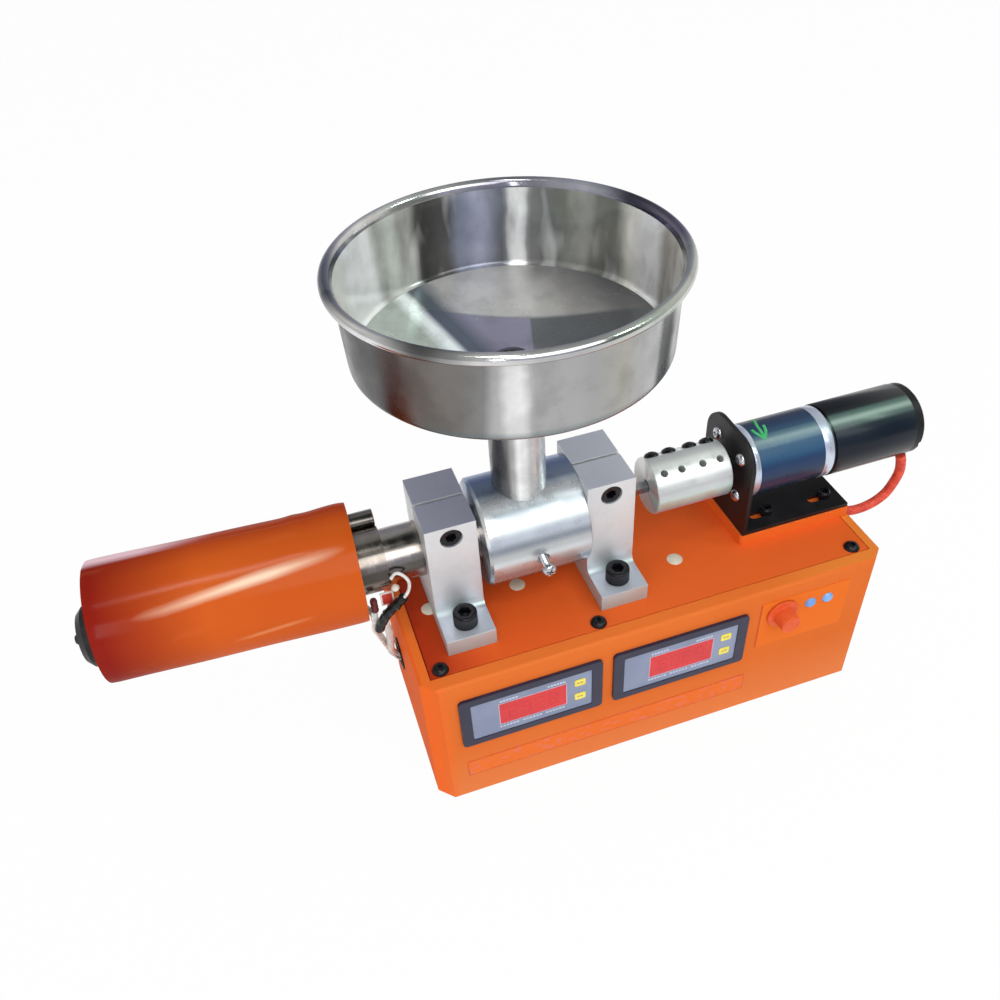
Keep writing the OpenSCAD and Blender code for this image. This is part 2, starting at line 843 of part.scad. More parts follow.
module gearbox_screws() {
    color([0.80, 0.80, 0.80])
        at_gearbox_screws() button_screw(7.4, 2.4, 4, bracket_t + 5.5, 2.5);
}

lobes = 18;
lobe_d = 5;
module gearbox_flange() {
    color([0.06, 0.06, 0.07])
        difference() {
            union() {
                bar_x(flange_x, ring1_x - flange_x, gearbox_d);
                // lobes around the edge
                for (i = [0 : lobes - 1])
                    rotate_about_axis(i * 360 / lobes)
                        translate([flange_x, 0, gearbox_d / 2 - 1.2])
                            rotate([0, 90, 0]) cylinder(d = lobe_d, h = ring1_x - flange_x, $fn = 32);
            }
            bar_x(flange_x - 1, 20, 14);
            at_gearbox_screws() translate([0, 0, -bracket_t - 7]) cylinder(d = 4.2, h = 12);
        }
}

module gearbox_front_ring() {
    color([0.78, 0.79, 0.80])
        difference() {
            bar_x(ring1_x, gear_x - ring1_x, gearbox_d);
            bar_x(ring1_x - 1, 20, 8 + 2 * fit_gap);
            at_gearbox_screws() translate([0, 0, -bracket_t - 7]) cylinder(d = 4.2, h = 12);
        }
}

module gearbox_case() {
    color([0.17, 0.25, 0.38]) bar_x(gear_x, ring2_x - gear_x, gearbox_d);
}

module gearbox_rear_ring() {
    color([0.78, 0.79, 0.80]) bar_x(ring2_x, motor_x - ring2_x, gearbox_d);
}

module motor_can() {
    color([0.11, 0.14, 0.18])
        translate([motor_x, 0, axis_z])
            rotate([0, 90, 0])
                rotate_extrude()
                    polygon([[0, 0], [motor_d / 2 - 1.6, 0], [motor_d / 2 - 1.6, 1.6],
                        [motor_d / 2, 1.6], [motor_d / 2, end_cap_x - motor_x], [0, end_cap_x - motor_x]]);
}

module motor_end_cap() {
    color([0.08, 0.08, 0.09])
        difference() {
            translate([end_cap_x, 0, axis_z])
                rotate([0, 90, 0])
                    rotate_extrude()
                        polygon([[0, 0], [motor_d / 2 - 0.4, 0], [motor_d / 2 - 0.4, 4.5],
                            [motor_d / 2 - 2, 6], [9, 6], [8, 7], [0, 7]]);
            for (a = [15, 105, 195, 285])
                rotate_about_axis(a) translate([end_cap_x + 3.5, -motor_d / 2, -2]) cube([5, 2, 4]);
        }
}

// Cords ------------------------------------------------------------------------

cable_points = [[227, -15, 127], [229, -15, 121], [230, -15, 113], [228, -15, 105], [224.5, -15, 98],
    [219, -15, 93.5], [212, -15, 91], [205, -15, 90.5], [198, -15, 91.5], [191, -15, 92], [184, -15, 92]];

function unit(v) = v / norm(v);
function tangent(p, i) = unit(p[min(i + 1, len(p) - 1)] - p[max(i - 1, 0)]);
function side_of(t) = unit(cross(t, abs(t[2]) > 0.9 ? [0, 1, 0] : [0, 0, 1]));

function blend(a, b, c, d, t) =
    0.5 * ((2 * b) + (c - a) * t + (2 * a - 5 * b + 4 * c - d) * t * t + (3 * b - a - 3 * c + d) * t * t * t);
function smooth(p, n) = concat(
    [for (i = [0 : len(p) - 2], k = [0 : n - 1])
        blend(p[max(i - 1, 0)], p[i], p[i + 1], p[min(i + 2, len(p) - 1)], k / n)],
    [p[len(p) - 1]]);

// A round cord along a list of points
module cord(points, d, sides) {
    rings = [for (i = [0 : len(points) - 1])
        let (t = tangent(points, i), u = side_of(t), v = cross(t, u))
            [for (k = [0 : sides - 1])
                points[i] + d / 2 * (cos(k * 360 / sides) * u + sin(k * 360 / sides) * v)]];
    last = len(points) - 1;
    polyhedron(
        points = [for (ring = rings, p = ring) p],
        faces = concat(
            [[for (k = [0 : sides - 1]) k]],
            [for (i = [0 : last - 1], k = [0 : sides - 1])
                [i * sides + k, (i + 1) * sides + k, (i + 1) * sides + (k + 1) % sides]],
            [for (i = [0 : last - 1], k = [0 : sides - 1])
                [i * sides + k, (i + 1) * sides + (k + 1) % sides, i * sides + (k + 1) % sides]],
            [[for (k = [sides - 1 : -1 : 0]) last * sides + k]]));
}

module motor_cable() {
    color([0.88, 0.32, 0.22]) cord(smooth(cable_points, 2), cable_d, 12);
}

lead_back = [[-98.5, -8, 119], [-95, -9, 118], [-93, -10, 113], [-93.5, -10, 106], [-92.5, -8.5, 97],
    [-90.5, -4, 88], [-88, 2, 73], [-84.5, 8, 58], [-80.5, 13, 45.5], [-76, 15, 43]];
lead_front = [[-98.5, -10.5, 118], [-95, -11.5, 116.5], [-93.2, -12.3, 111], [-94.5, -12, 103],
    [-93, -8.5, 94], [-90, -2, 77.5], [-86.5, 6, 58.5], [-83, 11, 46], [-80, 13.5, 41], [-76, 14.5, 40.5]];
lead_loop = [[-81, -19, 144], [-78, -18, 146], [-75, -19, 145], [-72.5, -21.5, 142], [-73, -23, 138],
    [-75.5, -24, 134.5], [-79, -24, 131]];
lead_grey = [[-86.5, -21, 123], [-88, -19, 112.5], [-86.5, -12, 97.5], [-86.2, -4, 81], [-86.2, 6, 61],
    [-82.8, 12.8, 47.8], [-76, 15, 43.5]];
tape = [[-76.5, -24, 134], [-81, -23, 128.5], [-85, -22, 124], [-88.5, -21, 118.5], [-92, -19.8, 110.5]];
white_lead_d = 1.8;
loop_lead_d = 2.4;
grey_lead_d = 4.6;
tape_d = 5.6;

module heater_leads() {
    color([0.93, 0.92, 0.90]) {
        cord(smooth(lead_back, 3), white_lead_d, 8);
        cord(smooth(lead_front, 3), white_lead_d, 8);
        cord(smooth(lead_loop, 3), loop_lead_d, 8);
        cord(smooth(lead_grey, 3), grey_lead_d, 10);
    }
}

module lead_wrap() {
    color([0.06, 0.06, 0.06]) cord(smooth(tape, 2), tape_d, 10);
}

module lead_connector() {
    color([0.92, 0.92, 0.90]) {
        // crimp, insulated end, flat tab and bead
        translate([-94, -23, 125.5]) cube([4.2, 5, 9]);
        translate([-92.8, -16, 112.5]) cylinder(d = 4, h = 9);
        translate([-88, -19, 126]) cube([7, 1.2, 9]);
        translate([-79.5, -20, 138]) sphere(d = 5, $fn = 32);
    }
}

module cable_grommets() {
    color([0.05, 0.05, 0.05]) {
        translate(cable_hole)
            rotate([0, 90, 0]) difference() {
                cylinder(d = grommet_d, h = 1.2);
                translate([0, 0, -1]) cylinder(d = cable_d + 0.2, h = 4);
            }
        translate(lead_hole)
            rotate([0, -90, 0]) difference() {
                cylinder(d = lead_hole_d + 4, h = 1);
                translate([0, 0, -1]) cylinder(d = lead_hole_d, h = 4);
            }
    }
}

base_case();
base_cover();
top_plate();
plate_screws();
hole_plugs();
motor_riser();
left_meter_frame();
left_meter_face();
right_meter_frame();
right_meter_face();
meter_windows();
meter_keys();
caption_strip();
knob_panel();
speed_knob();
indicator_lamps();
left_bearing_block();
right_bearing_block();
clamp_screws();
foot_bolts();
feed_housing();
housing_screw();
hopper_bowl();
hopper_neck();
barrel();
heater_band();
heater_rod();
insulation();
heater_sleeve();
die_cap();
nozzle();
feed_screw();
coupling();
coupling_screws();
gearbox_shaft();
motor_bracket();
bracket_screws();
gearbox_screws();
gearbox_flange();
gearbox_front_ring();
gearbox_case();
gearbox_rear_ring();
motor_can();
motor_end_cap();
motor_cable();
heater_leads();
lead_wrap();
lead_connector();
cable_grommets();
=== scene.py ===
import json
import math

import bpy
from mathutils import Matrix, Vector


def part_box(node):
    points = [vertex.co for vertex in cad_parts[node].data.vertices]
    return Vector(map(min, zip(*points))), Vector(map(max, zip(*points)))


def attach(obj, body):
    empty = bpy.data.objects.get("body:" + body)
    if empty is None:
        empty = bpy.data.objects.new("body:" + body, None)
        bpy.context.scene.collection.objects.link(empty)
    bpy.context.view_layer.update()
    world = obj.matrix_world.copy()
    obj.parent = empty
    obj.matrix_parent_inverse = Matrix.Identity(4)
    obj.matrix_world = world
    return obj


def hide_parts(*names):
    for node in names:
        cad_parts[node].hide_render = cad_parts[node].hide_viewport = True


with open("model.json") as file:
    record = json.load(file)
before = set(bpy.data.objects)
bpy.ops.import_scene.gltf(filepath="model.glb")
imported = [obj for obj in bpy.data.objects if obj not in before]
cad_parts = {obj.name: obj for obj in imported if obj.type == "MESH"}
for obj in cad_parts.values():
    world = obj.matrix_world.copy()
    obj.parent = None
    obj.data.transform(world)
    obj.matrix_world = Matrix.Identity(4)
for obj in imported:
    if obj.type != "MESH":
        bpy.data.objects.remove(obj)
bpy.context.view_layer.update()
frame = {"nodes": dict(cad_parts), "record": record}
MM = 0.001
DRIVE_Z = 0.142  # height of the drive line, in metres

# ---------------------------------------------------------------- camera
# The camera looks down at the machine from the front left.
EYE = Vector((-0.1112, -0.3478, 0.4834))
LOOK = Vector((0.19682, 0.71745, -0.66823))
RIGHT = Vector((0.94779, -0.31365, -0.05760))
cam_data = bpy.data.cameras.new("camera")
cam_data.lens = 33.2
cam_data.sensor_width = 36.0
cam_data.clip_start = 0.01
cam_data.clip_end = 50.0
cam_data.shift_x = 0.00135
cam_data.shift_y = 0.0012
cam = bpy.data.objects.new("camera", cam_data)
bpy.context.scene.collection.objects.link(cam)
up = RIGHT.cross(LOOK).normalized()
basis = Matrix((RIGHT, up, -LOOK)).transposed().to_4x4()
cam.matrix_world = Matrix.Translation(EYE) @ basis
bpy.context.scene.camera = cam


# ---------------------------------------------------------------- shader helper
def fill_ramp(color_ramp, stops):
    """Gives a colour ramp its (place, colour) stops, joined softly."""
    color_ramp.interpolation = "EASE"
    items = color_ramp.elements
    while len(items) > 1:
        items.remove(items[-1])
    items[0].position = stops[0][0]
    items[0].color = (*stops[0][1], 1)
    for place, color in stops[1:]:
        items.new(place).color = (*color, 1)


class Nodes:
    """The node tree of a material or a world."""

    def __init__(self, owner):
        owner.use_nodes = True
        self.tree = owner.node_tree

    def node(self, kind, **values):
        n = self.tree.nodes.new(kind)
        for key, value in values.items():
            if hasattr(n, key):
                setattr(n, key, value)
            else:
                n.inputs[key.replace("_", " ")].default_value = value
        return n

    def link(self, a, b):
        self.tree.links.new(a, b)


class Shader(Nodes):
    """One node material, built up from a Principled BSDF."""

    def __init__(self, name, color, rough, metal=0.0, **sockets):
        self.mat = bpy.data.materials.new(name)
        super().__init__(self.mat)
        self.bsdf = self.tree.nodes["Principled BSDF"]
        self.bsdf.inputs["Base Color"].default_value = (*color, 1)
        self.bsdf.inputs["Roughness"].default_value = rough
        self.bsdf.inputs["Metallic"].default_value = metal
        for key, value in sockets.items():
            self.bsdf.inputs[key.replace("_", " ")].default_value = value
        self.coords = self.node("ShaderNodeTexCoord").outputs["Object"]

    def scaled(self, stretch=(1, 1, 1), shift=(0, 0, 0)):
        m = self.node("ShaderNodeMapping", vector_type="TEXTURE")
        m.inputs["Location"].default_value = shift
        m.inputs["Scale"].default_value = [1 / s for s in stretch]
        self.link(self.coords, m.inputs["Vector"])
        return m.outputs["Vector"]

    def noise(self, scale, detail=4.0, rough=0.55, stretch=(1, 1, 1)):
        n = self.node("ShaderNodeTexNoise", Scale=scale, Detail=detail, Roughness=rough)
        self.link(self.scaled(stretch), n.inputs["Vector"])
        return n.outputs["Fac"]

    def axis(self, letter, low, high):
        """0 to 1 along X, Y or Z between two places in metres."""
        s = self.node("ShaderNodeSeparateXYZ")
        self.link(self.coords, s.inputs["Vector"])
        return self.spread(s.outputs[letter], low, high, 0, 1)

    def slant(self, x, y, low, high):
        """0 to 1 across the floor plan, between two places along the direction x, y."""
        dot = self.node("ShaderNodeVectorMath", operation="DOT_PRODUCT")
        self.link(self.coords, dot.inputs[0])
        dot.inputs[1].default_value = (x, y, 0)
        return self.spread(dot.outputs["Value"], low, high, 0, 1)

    def facing_up(self):
        """High on faces that look straight up."""
        split = self.node("ShaderNodeSeparateXYZ")
        self.link(self.tree.nodes["Texture Coordinate"].outputs["Normal"], split.inputs["Vector"])
        return self.spread(split.outputs["Z"], 0.85, 0.97, 0, 1)

    def roll(self, height):
        """0 to 1 round a level axis along X: a half at the front, three quarters at the top."""
        split = self.node("ShaderNodeSeparateXYZ")
        self.link(self.scaled(shift=(0, 0, height)), split.inputs["Vector"])
        flip = self.node("ShaderNodeMath", operation="MULTIPLY")
        flip.inputs[1].default_value = -1
        self.link(split.outputs["Y"], flip.inputs[0])
        join = self.node("ShaderNodeCombineXYZ")
        self.link(flip.outputs[0], join.inputs["X"])
        self.link(split.outputs["Z"], join.inputs["Y"])
        g = self.node("ShaderNodeTexGradient", gradient_type="RADIAL")
        self.link(join.outputs[0], g.inputs["Vector"])
        return g.outputs["Fac"]

    def shaken(self, fac, noise, amount):
        """fac moved a little to and fro by a noise."""
        m = self.node("ShaderNodeMath", operation="ADD")
        self.link(fac, m.inputs[0])
        self.link(self.spread(noise, 0.25, 0.75, -amount, amount), m.inputs[1])
        return m.outputs[0]

    def both(self, a, b):
        """High only where a and b are both high."""
        m = self.node("ShaderNodeMath", operation="MULTIPLY")
        self.link(a, m.inputs[0])
        self.link(b, m.inputs[1])
        return m.outputs[0]

    def around(self, center):
        """0 to 1 round an upright axis through center, starting at -X."""
        g = self.node("ShaderNodeTexGradient", gradient_type="RADIAL")
        self.link(self.scaled(shift=center), g.inputs["Vector"])
        return g.outputs["Fac"]

    def spread(self, fac, low, high, out_low, out_high):
        m = self.node("ShaderNodeMapRange", clamp=True)
        for key, value in (("From Min", low), ("From Max", high), ("To Min", out_low),
                           ("To Max", out_high)):
            m.inputs[key].default_value = value
        self.link(fac, m.inputs["Value"])
        return m.outputs["Result"]

    def ramp(self, fac, stops):
        """Colour from fac through (place, colour) stops."""
        r = self.node("ShaderNodeValToRGB")
        fill_ramp(r.color_ramp, stops)
        self.link(fac, r.inputs["Fac"])
        return r.outputs["Color"]

    def base(self):
        """What feeds the base colour now, as a socket or a value."""
        old = self.bsdf.inputs["Base Color"]
        return old.links[0].from_socket if old.links else old.default_value[:]

    def mixed(self, a, b, fac, blend="MIX"):
        mix = self.node("ShaderNodeMix", data_type="RGBA", blend_type=blend)
        for socket, value in ((mix.inputs[6], a), (mix.inputs[7], b), (mix.inputs[0], fac)):
            if hasattr(value, "is_linked"):
                self.link(value, socket)
            else:
                socket.default_value = value
        self.link(mix.outputs[2], self.bsdf.inputs["Base Color"])

    def tint(self, fac, a, b, low=0.35, high=0.65):
        """Base colour that runs from a to b with fac."""
        self.mixed((*a, 1), (*b, 1), self.spread(fac, low, high, 0, 1))

    def overlay(self, fac, color, low, high, strength=1.0):
        """Lays a second colour over the base colour where fac is high."""
        self.mixed(self.base(), (*color, 1), self.spread(fac, low, high, 0, strength))

    def cover(self, mask, color, strength=1.0):
        """Lays a colour over the base colour by a mask that already runs from 0 to 1."""
        self.overlay(mask, color, 0, 1, strength)

    def band(self, fac, rise, fall):
        """High between two pairs of places: it rises over the first pair and falls over the second."""
        return self.both(self.spread(fac, *rise, 0, 1), self.spread(fac, *fall, 0, 1))

    def painted_light_bands(self, stops):
        """Multiplies the base colour by painted highlights and reflections: tones round the drive line's
        axis.
        """
        self.multiply(self.ramp(self.roll(DRIVE_Z), tones(stops)))

    def multiply(self, color, strength=1.0):
        self.mixed(self.base(), color, strength, "MULTIPLY")

    def rough(self, fac, a, b, low=0.35, high=0.65):
        self.link(self.spread(fac, low, high, a, b), self.bsdf.inputs["Roughness"])

    def bump(self, fac, depth, strength=1.0):
        n = self.node("ShaderNodeBump", Strength=strength, Distance=depth)
        self.link(fac, n.inputs["Height"])
        old = self.bsdf.inputs["Normal"]
        if old.links:
            self.link(old.links[0].from_socket, n.inputs["Normal"])
        self.link(n.outputs["Normal"], old)


def lin(r, g, b):
    """sRGB 0-255 to linear."""
    def one(v):
        v /= 255
        return v / 12.92 if v <= 0.04045 else ((v + 0.055) / 1.055) ** 2.4
    return (one(r), one(g), one(b))


def grey(v):
    return lin(v, v, v)


def tones(stops, through=lin):
    """(place, sRGB colour) stops as linear ones; a single number stands for a grey."""
    return [(place, through(*(c if isinstance(c, tuple) else (c, c, c)))) for place, c in stops]


# ---------------------------------------------------------------- materials
def painted(name, color, dark, rough=0.42, grain=0.00004):
    s = Shader(name, color, rough, Specular_IOR_Level=0.0, Coat_Weight=0.12, Coat_Roughness=0.3)
    s.tint(s.noise(9, 5), color, dark, 0.45, 0.75)
    s.overlay(s.noise(260, 3), dark, 0.62, 0.8, 0.5)
    s.rough(s.noise(40, 4), rough - 0.06, rough + 0.08)
    s.bump(s.noise(1100, 2), grain)
    return s


def metal(name, color, dark, rough, grain=(1, 1, 1), depth=0.00003, share=1.0):
    """Bare metal whose grain is stretched across the given axes; share under 1 leaves it hazy."""
    s = Shader(name, color, rough, share)
    s.tint(s.noise(30, 6), color, dark, 0.4, 0.75)
    s.rough(s.noise(60, 6, stretch=grain), rough * 0.75, rough * 1.35)
    s.bump(s.noise(240, 3, stretch=grain), depth)
    return s


def plain(name, color, dark, rough, scale=60, depth=0.00003, **sockets):
    s = Shader(name, color, rough, **sockets)
    s.tint(s.noise(scale, 4), color, dark, 0.4, 0.7)
    s.rough(s.noise(scale * 2, 3), rough - 0.05, rough + 0.07)
    s.bump(s.noise(scale * 12, 2), depth)
    return s


CASE_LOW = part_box("base_case")[0]
case_paint = painted("case_paint", lin(220, 110, 46), lin(214, 103, 40))
# Painted light: the case runs paler towards the bottom, where the floor bounces light onto it.
case_paint.cover(case_paint.axis("Z", 0.045, 0.0), lin(224, 128, 72), 0.85)
# Painted light: the case's left end brighter and redder, standing in for light falling there.
case_paint.cover(case_paint.axis("X", CASE_LOW.x + 0.013, CASE_LOW.x + 0.004), lin(240, 104, 34), 0.85)
# Painted light: the top faces of the case lighter, as lit from above.
case_paint.cover(case_paint.facing_up(), lin(236, 118, 50), 0.6)
# Painted highlight: a lighter band on the top faces at the right of the case.
lit_edge = case_paint.both(case_paint.axis("X", 0.120, 0.160), case_paint.facing_up())
case_paint.cover(lit_edge, lin(238, 146, 60), 0.45)
plate_paint = painted("plate_paint", lin(226, 90, 36), lin(216, 80, 32), 0.34)
# Painted light: the plate lighter towards the right, away from the shade of the hopper and housing.
plate_paint.cover(plate_paint.axis("X", -0.055, 0.06), lin(229, 101, 43), 0.8)
# Painted shade: the plate dark red at its left, near the left block.
plate_paint.cover(plate_paint.axis("X", -0.038, -0.074), lin(160, 38, 20), 0.85)
riser_paint = painted("riser_paint", lin(231, 108, 42), lin(224, 98, 36), 0.42)
strip_film = painted("strip_film", lin(230, 114, 50), lin(228, 108, 42), 0.35)
strip_film.overlay(strip_film.noise(170, 3, stretch=(1, 1, 2)), lin(224, 118, 104), 0.52, 0.66, 0.6)
panel_film = painted("panel_film", lin(229, 110, 34), lin(228, 114, 44), 0.36)

black = plain("black_oxide", (0.004, 0.004, 0.006), (0.009, 0.009, 0.012), 0.2, 220,
              Specular_IOR_Level=0.3)
bracket_black = plain("bracket_black", (0.007, 0.007, 0.008), (0.014, 0.013, 0.015), 0.44, 40,
                      Specular_IOR_Level=0.3)
bracket_black.overlay(bracket_black.noise(55, 6), (0.045, 0.043, 0.046), 0.64, 0.8, 0.5)
plastic_black = plain("black_plastic", (0.006, 0.006, 0.007), (0.012, 0.012, 0.013), 0.4, 90,
                      Specular_IOR_Level=0.25)
tape_black = plain("black_tape", (0.004, 0.004, 0.005), (0.01, 0.01, 0.011), 0.28, 120,
                   Specular_IOR_Level=0.35)
white = plain("white_plastic", lin(222, 214, 196), lin(196, 184, 160), 0.42, 80)

alloy = metal("cast_alloy", lin(224, 226, 228), lin(214, 216, 219), 0.48, share=0.6)
alloy.overlay(alloy.noise(700, 3), lin(196, 196, 200), 0.62, 0.76, 0.4)
alloy.bump(alloy.noise(1500, 3), 0.0001)
# Painted reflection: the lower part of the blocks, foot and fillet, tinted darker and bluish.
alloy.cover(alloy.axis("Z", 0.122, 0.100), lin(176, 206, 208), 0.9)
# Painted reflection: the top faces of the blocks bluish grey.
alloy.cover(alloy.facing_up(), lin(206, 208, 222), 0.8)
# Painted reflection: the left block's top face darker and bluer still.
painted_dark_top = alloy.both(alloy.facing_up(), alloy.both(alloy.axis("X", 0.0, -0.03),
                                                    alloy.axis("Z", 0.14, 0.15)))
alloy.cover(painted_dark_top, lin(178, 179, 198), 0.9)
turned = metal("turned_steel", lin(250, 252, 255), lin(236, 240, 247), 0.28, (1.5, 1, 1), 0.0000006, 0.75)
# Painted reflections and highlights on the housing: tones round the drive line's axis.
turned.painted_light_bands([
    (0.0, 215), (0.36, 180), (0.40, (136, 144, 147)), (0.425, (200, 214, 218)), (0.45, (186, 199, 203)),
    (0.475, (212, 224, 226)), (0.50, (222, 230, 232)), (0.525, (195, 196, 194)),
    (0.55, (148, 153, 161)), (0.575, (225, 230, 234)), (0.60, (237, 241, 236)), (0.625, 205),
    (0.648, (192, 200, 202)), (0.664, 255), (0.69, 255), (0.702, (230, 233, 242)),
    (0.725, (142, 152, 176)), (0.75, (126, 140, 162)), (0.775, (120, 134, 169)),
    (0.80, (135, 152, 184)), (0.84, (140, 154, 188)), (0.92, 190), (1.0, 215)])
# Painted highlight: a white band at the left end of the housing, next to the left block.
lit_end = turned.band(turned.roll(DRIVE_Z), (0.57, 0.60), (0.71, 0.68))
turned.cover(turned.both(lit_end, turned.axis("X", -0.022, -0.030)), (1.0, 1.0, 1.0))
barrel_steel = metal("barrel_steel", lin(206, 200, 194), lin(150, 138, 126), 0.2, (4, 0.8, 0.8), 0.00002)
heater_steel = metal("heater_steel", lin(176, 168, 160), lin(118, 104, 90), 0.26, (4, 0.8, 0.8), 0.00003)
# Painted reflections and highlights on the barrel and heater: tones round the axis.
for steel in (barrel_steel, heater_steel):
    steel.painted_light_bands([
        (0.0, 200), (0.40, 230), (0.46, 250), (0.49, 190), (0.51, 124), (0.55, 126), (0.575, 215),
        (0.60, 255), (0.63, 255), (0.648, 150), (0.70, 160), (0.725, 215), (0.76, 255), (0.79, 255),
        (0.82, 200), (1.0, 200)])
screw_steel = metal("screw_steel", lin(150, 150, 154), lin(120, 118, 118), 0.26, (0.2, 6, 6), 0.00002)
zinc = metal("zinc", lin(206, 208, 214), lin(170, 174, 184), 0.22)
ring_zinc = metal("ring_zinc", lin(206, 214, 230), lin(186, 194, 212), 0.3, (4, 0.5, 0.5), 0.00001, 0.7)
coupling_alloy = metal("coupling_alloy", lin(244, 246, 244), lin(234, 236, 234), 0.36, (4, 0.5, 0.5),
                       0.00001, 0.7)
# Painted reflections and highlights on the coupling: tones round its axis.
coupling_alloy.painted_light_bands([
    (0.0, 230), (0.36, 240), (0.40, (212, 226, 255)), (0.425, (206, 232, 255)), (0.45, (203, 255, 255)),
    (0.475, (212, 255, 255)), (0.50, (220, 255, 255)), (0.525, (216, 224, 227)),
    (0.55, (213, 213, 215)), (0.575, 238), (0.60, 248), (0.68, 246), (0.70, 255), (0.75, 226),
    (0.78, 226), (0.80, 255), (1.0, 230)])

wool = plain("insulation", lin(224, 218, 204), lin(190, 178, 158), 0.95, 80, 0.0004)
die_black = plain("die_black", (0.007, 0.007, 0.008), (0.02, 0.018, 0.017), 0.42, 120,
                  Specular_IOR_Level=0.3)

gearbox_paint = plain("gearbox_paint", grey(255), grey(246), 0.26, 6, 0.000005, Specular_IOR_Level=0.32)
# The gearbox's blue with a painted highlight and painted reflections, as tones round its axis.
gearbox_paint.painted_light_bands([
    (0.0, (14, 36, 66)), (0.40, (40, 48, 62)), (0.475, (36, 52, 76)), (0.55, (24, 50, 88)),
    (0.60, (48, 84, 116)), (0.635, (54, 88, 118)), (0.652, (86, 112, 130)), (0.675, (130, 153, 158)),
    (0.695, (84, 112, 126)), (0.715, (42, 72, 100)), (0.75, (26, 52, 84)), (0.80, (14, 36, 66)),
    (1.0, (14, 36, 66))])
motor_paint = plain("motor_paint", grey(255), grey(240), 0.24, 6, 0.000005, Specular_IOR_Level=0.27)
# The motor's dark paint with a painted greenish highlight along the top, as tones round its axis.
motor_paint.painted_light_bands([
    (0.0, (10, 16, 22)), (0.42, (60, 58, 58)), (0.46, (44, 46, 50)), (0.53, (12, 20, 32)),
    (0.60, (16, 28, 40)), (0.63, (30, 42, 50)), (0.652, (78, 98, 94)), (0.675, (142, 165, 155)),
    (0.698, (80, 104, 98)), (0.722, (22, 30, 34)), (0.745, (8, 14, 22)), (1.0, (10, 16, 22))])
meter_frame = plain("meter_frame", lin(38, 36, 58), lin(46, 44, 66), 0.4, 60, Specular_IOR_Level=0.35)
meter_face = plain("meter_face", lin(122, 132, 158), lin(136, 146, 172), 0.38, 40)
display_red = plain("display", lin(214, 26, 32), lin(200, 20, 26), 0.22, 90)
segment_red = plain("segment", lin(204, 21, 27), lin(192, 16, 21), 0.22, 90)
key_film = plain("key_film", lin(240, 222, 84), lin(228, 206, 66), 0.4, 90)
key_mark = plain("key_mark", lin(170, 160, 96), lin(160, 150, 90), 0.4, 90)
print_pale = plain("print_pale", lin(200, 206, 222), lin(176, 184, 206), 0.4, 400)
outline_pale = plain("outline_pale", lin(196, 176, 196), lin(186, 160, 180), 0.4, 90)
line_red = plain("line_red", lin(186, 64, 24), lin(172, 54, 22), 0.45, 90)
knob_plastic = plain("knob_plastic", lin(224, 92, 44), lin(216, 80, 38), 0.42, 90,
                     Specular_IOR_Level=0.2)
lamp_lens = plain("lamp_lens", lin(126, 174, 230), lin(90, 138, 212), 0.15, 60)
cable_braid = plain("cable_braid", lin(228, 82, 56), lin(196, 56, 40), 0.55, 300, 0.0001)
lead_white = plain("lead_white", lin(228, 224, 218), lin(196, 190, 182), 0.45, 200)
lead_grey = plain("lead_grey", lin(240, 236, 232), lin(206, 202, 200), 0.8, 420, 0.0003)
boot_maroon = plain("boot_maroon", lin(104, 38, 36), lin(84, 30, 30), 0.5, 120)
tab_red = plain("tab_red", lin(196, 60, 44), lin(170, 44, 34), 0.4, 120)
bead_tan = plain("bead_tan", lin(232, 220, 210), lin(206, 188, 172), 0.5, 160)
arrow_green = plain("arrow_green", lin(70, 186, 110), lin(52, 166, 96), 0.5, 300)

film = Shader("sleeve_film", lin(202, 88, 26), 0.2, Specular_IOR_Level=0.0, Coat_Weight=0.2,
              Coat_Roughness=0.16)
film.tint(film.noise(16, 3), lin(204, 90, 28), lin(198, 84, 24), 0.35, 0.7)
# Painted reflection: the film lighter and browner along its underside.
film.cover(film.axis("Z", 0.128, 0.112), lin(196, 100, 34), 0.7)
# Painted shade: the film darker red over the top towards the back.
film.cover(film.axis("Y", -0.003, 0.012), lin(180, 60, 20), 0.9)
# Painted shade: the film's left end deep red.
film.cover(film.axis("X", -0.170, -0.218), lin(136, 26, 14))
film.overlay(film.noise(90, 3, stretch=(0.3, 1, 1)), lin(208, 104, 50), 0.6, 0.8, 0.3)
# Painted highlight: a pale streak along the top of the film, slanting a little across it.
wound = film.shaken(film.shaken(film.roll(0.1427), film.axis("X", -0.230, -0.060), -0.017),
                    film.noise(70, 3, stretch=(0.25, 1, 1)), 0.004)
painted_highlight = film.band(wound, (0.628, 0.649), (0.672, 0.651))
painted_highlight = film.both(painted_highlight, film.both(film.axis("X", -0.210, -0.150), film.axis("X", -0.094, -0.138)))
film.overlay(painted_highlight, lin(255, 226, 196), 0.1, 0.9, 0.85)
# A fainter painted highlight lower on the film.
low_painted_highlight = film.band(wound, (0.488, 0.497), (0.508, 0.499))
low_painted_highlight = film.both(low_painted_highlight, film.both(film.axis("X", -0.165, -0.150), film.axis("X", -0.118, -0.135)))
film.overlay(low_painted_highlight, lin(232, 160, 110), 0.1, 0.9, 0.4)
# Painted highlight: pale pink over the top and back of the film at its left end.
far_painted_highlight = film.both(film.spread(wound, 0.805, 0.840, 0, 1), film.axis("X", -0.160, -0.195))
film.cover(far_painted_highlight, lin(255, 214, 226), 0.95)
film.rough(film.noise(40, 3), 0.18, 0.32)

BOWL_LOW, BOWL_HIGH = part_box("hopper_bowl")
BOWL_MIDDLE = ((BOWL_LOW.x + BOWL_HIGH.x) / 2, (BOWL_LOW.y + BOWL_HIGH.y) / 2, 0)


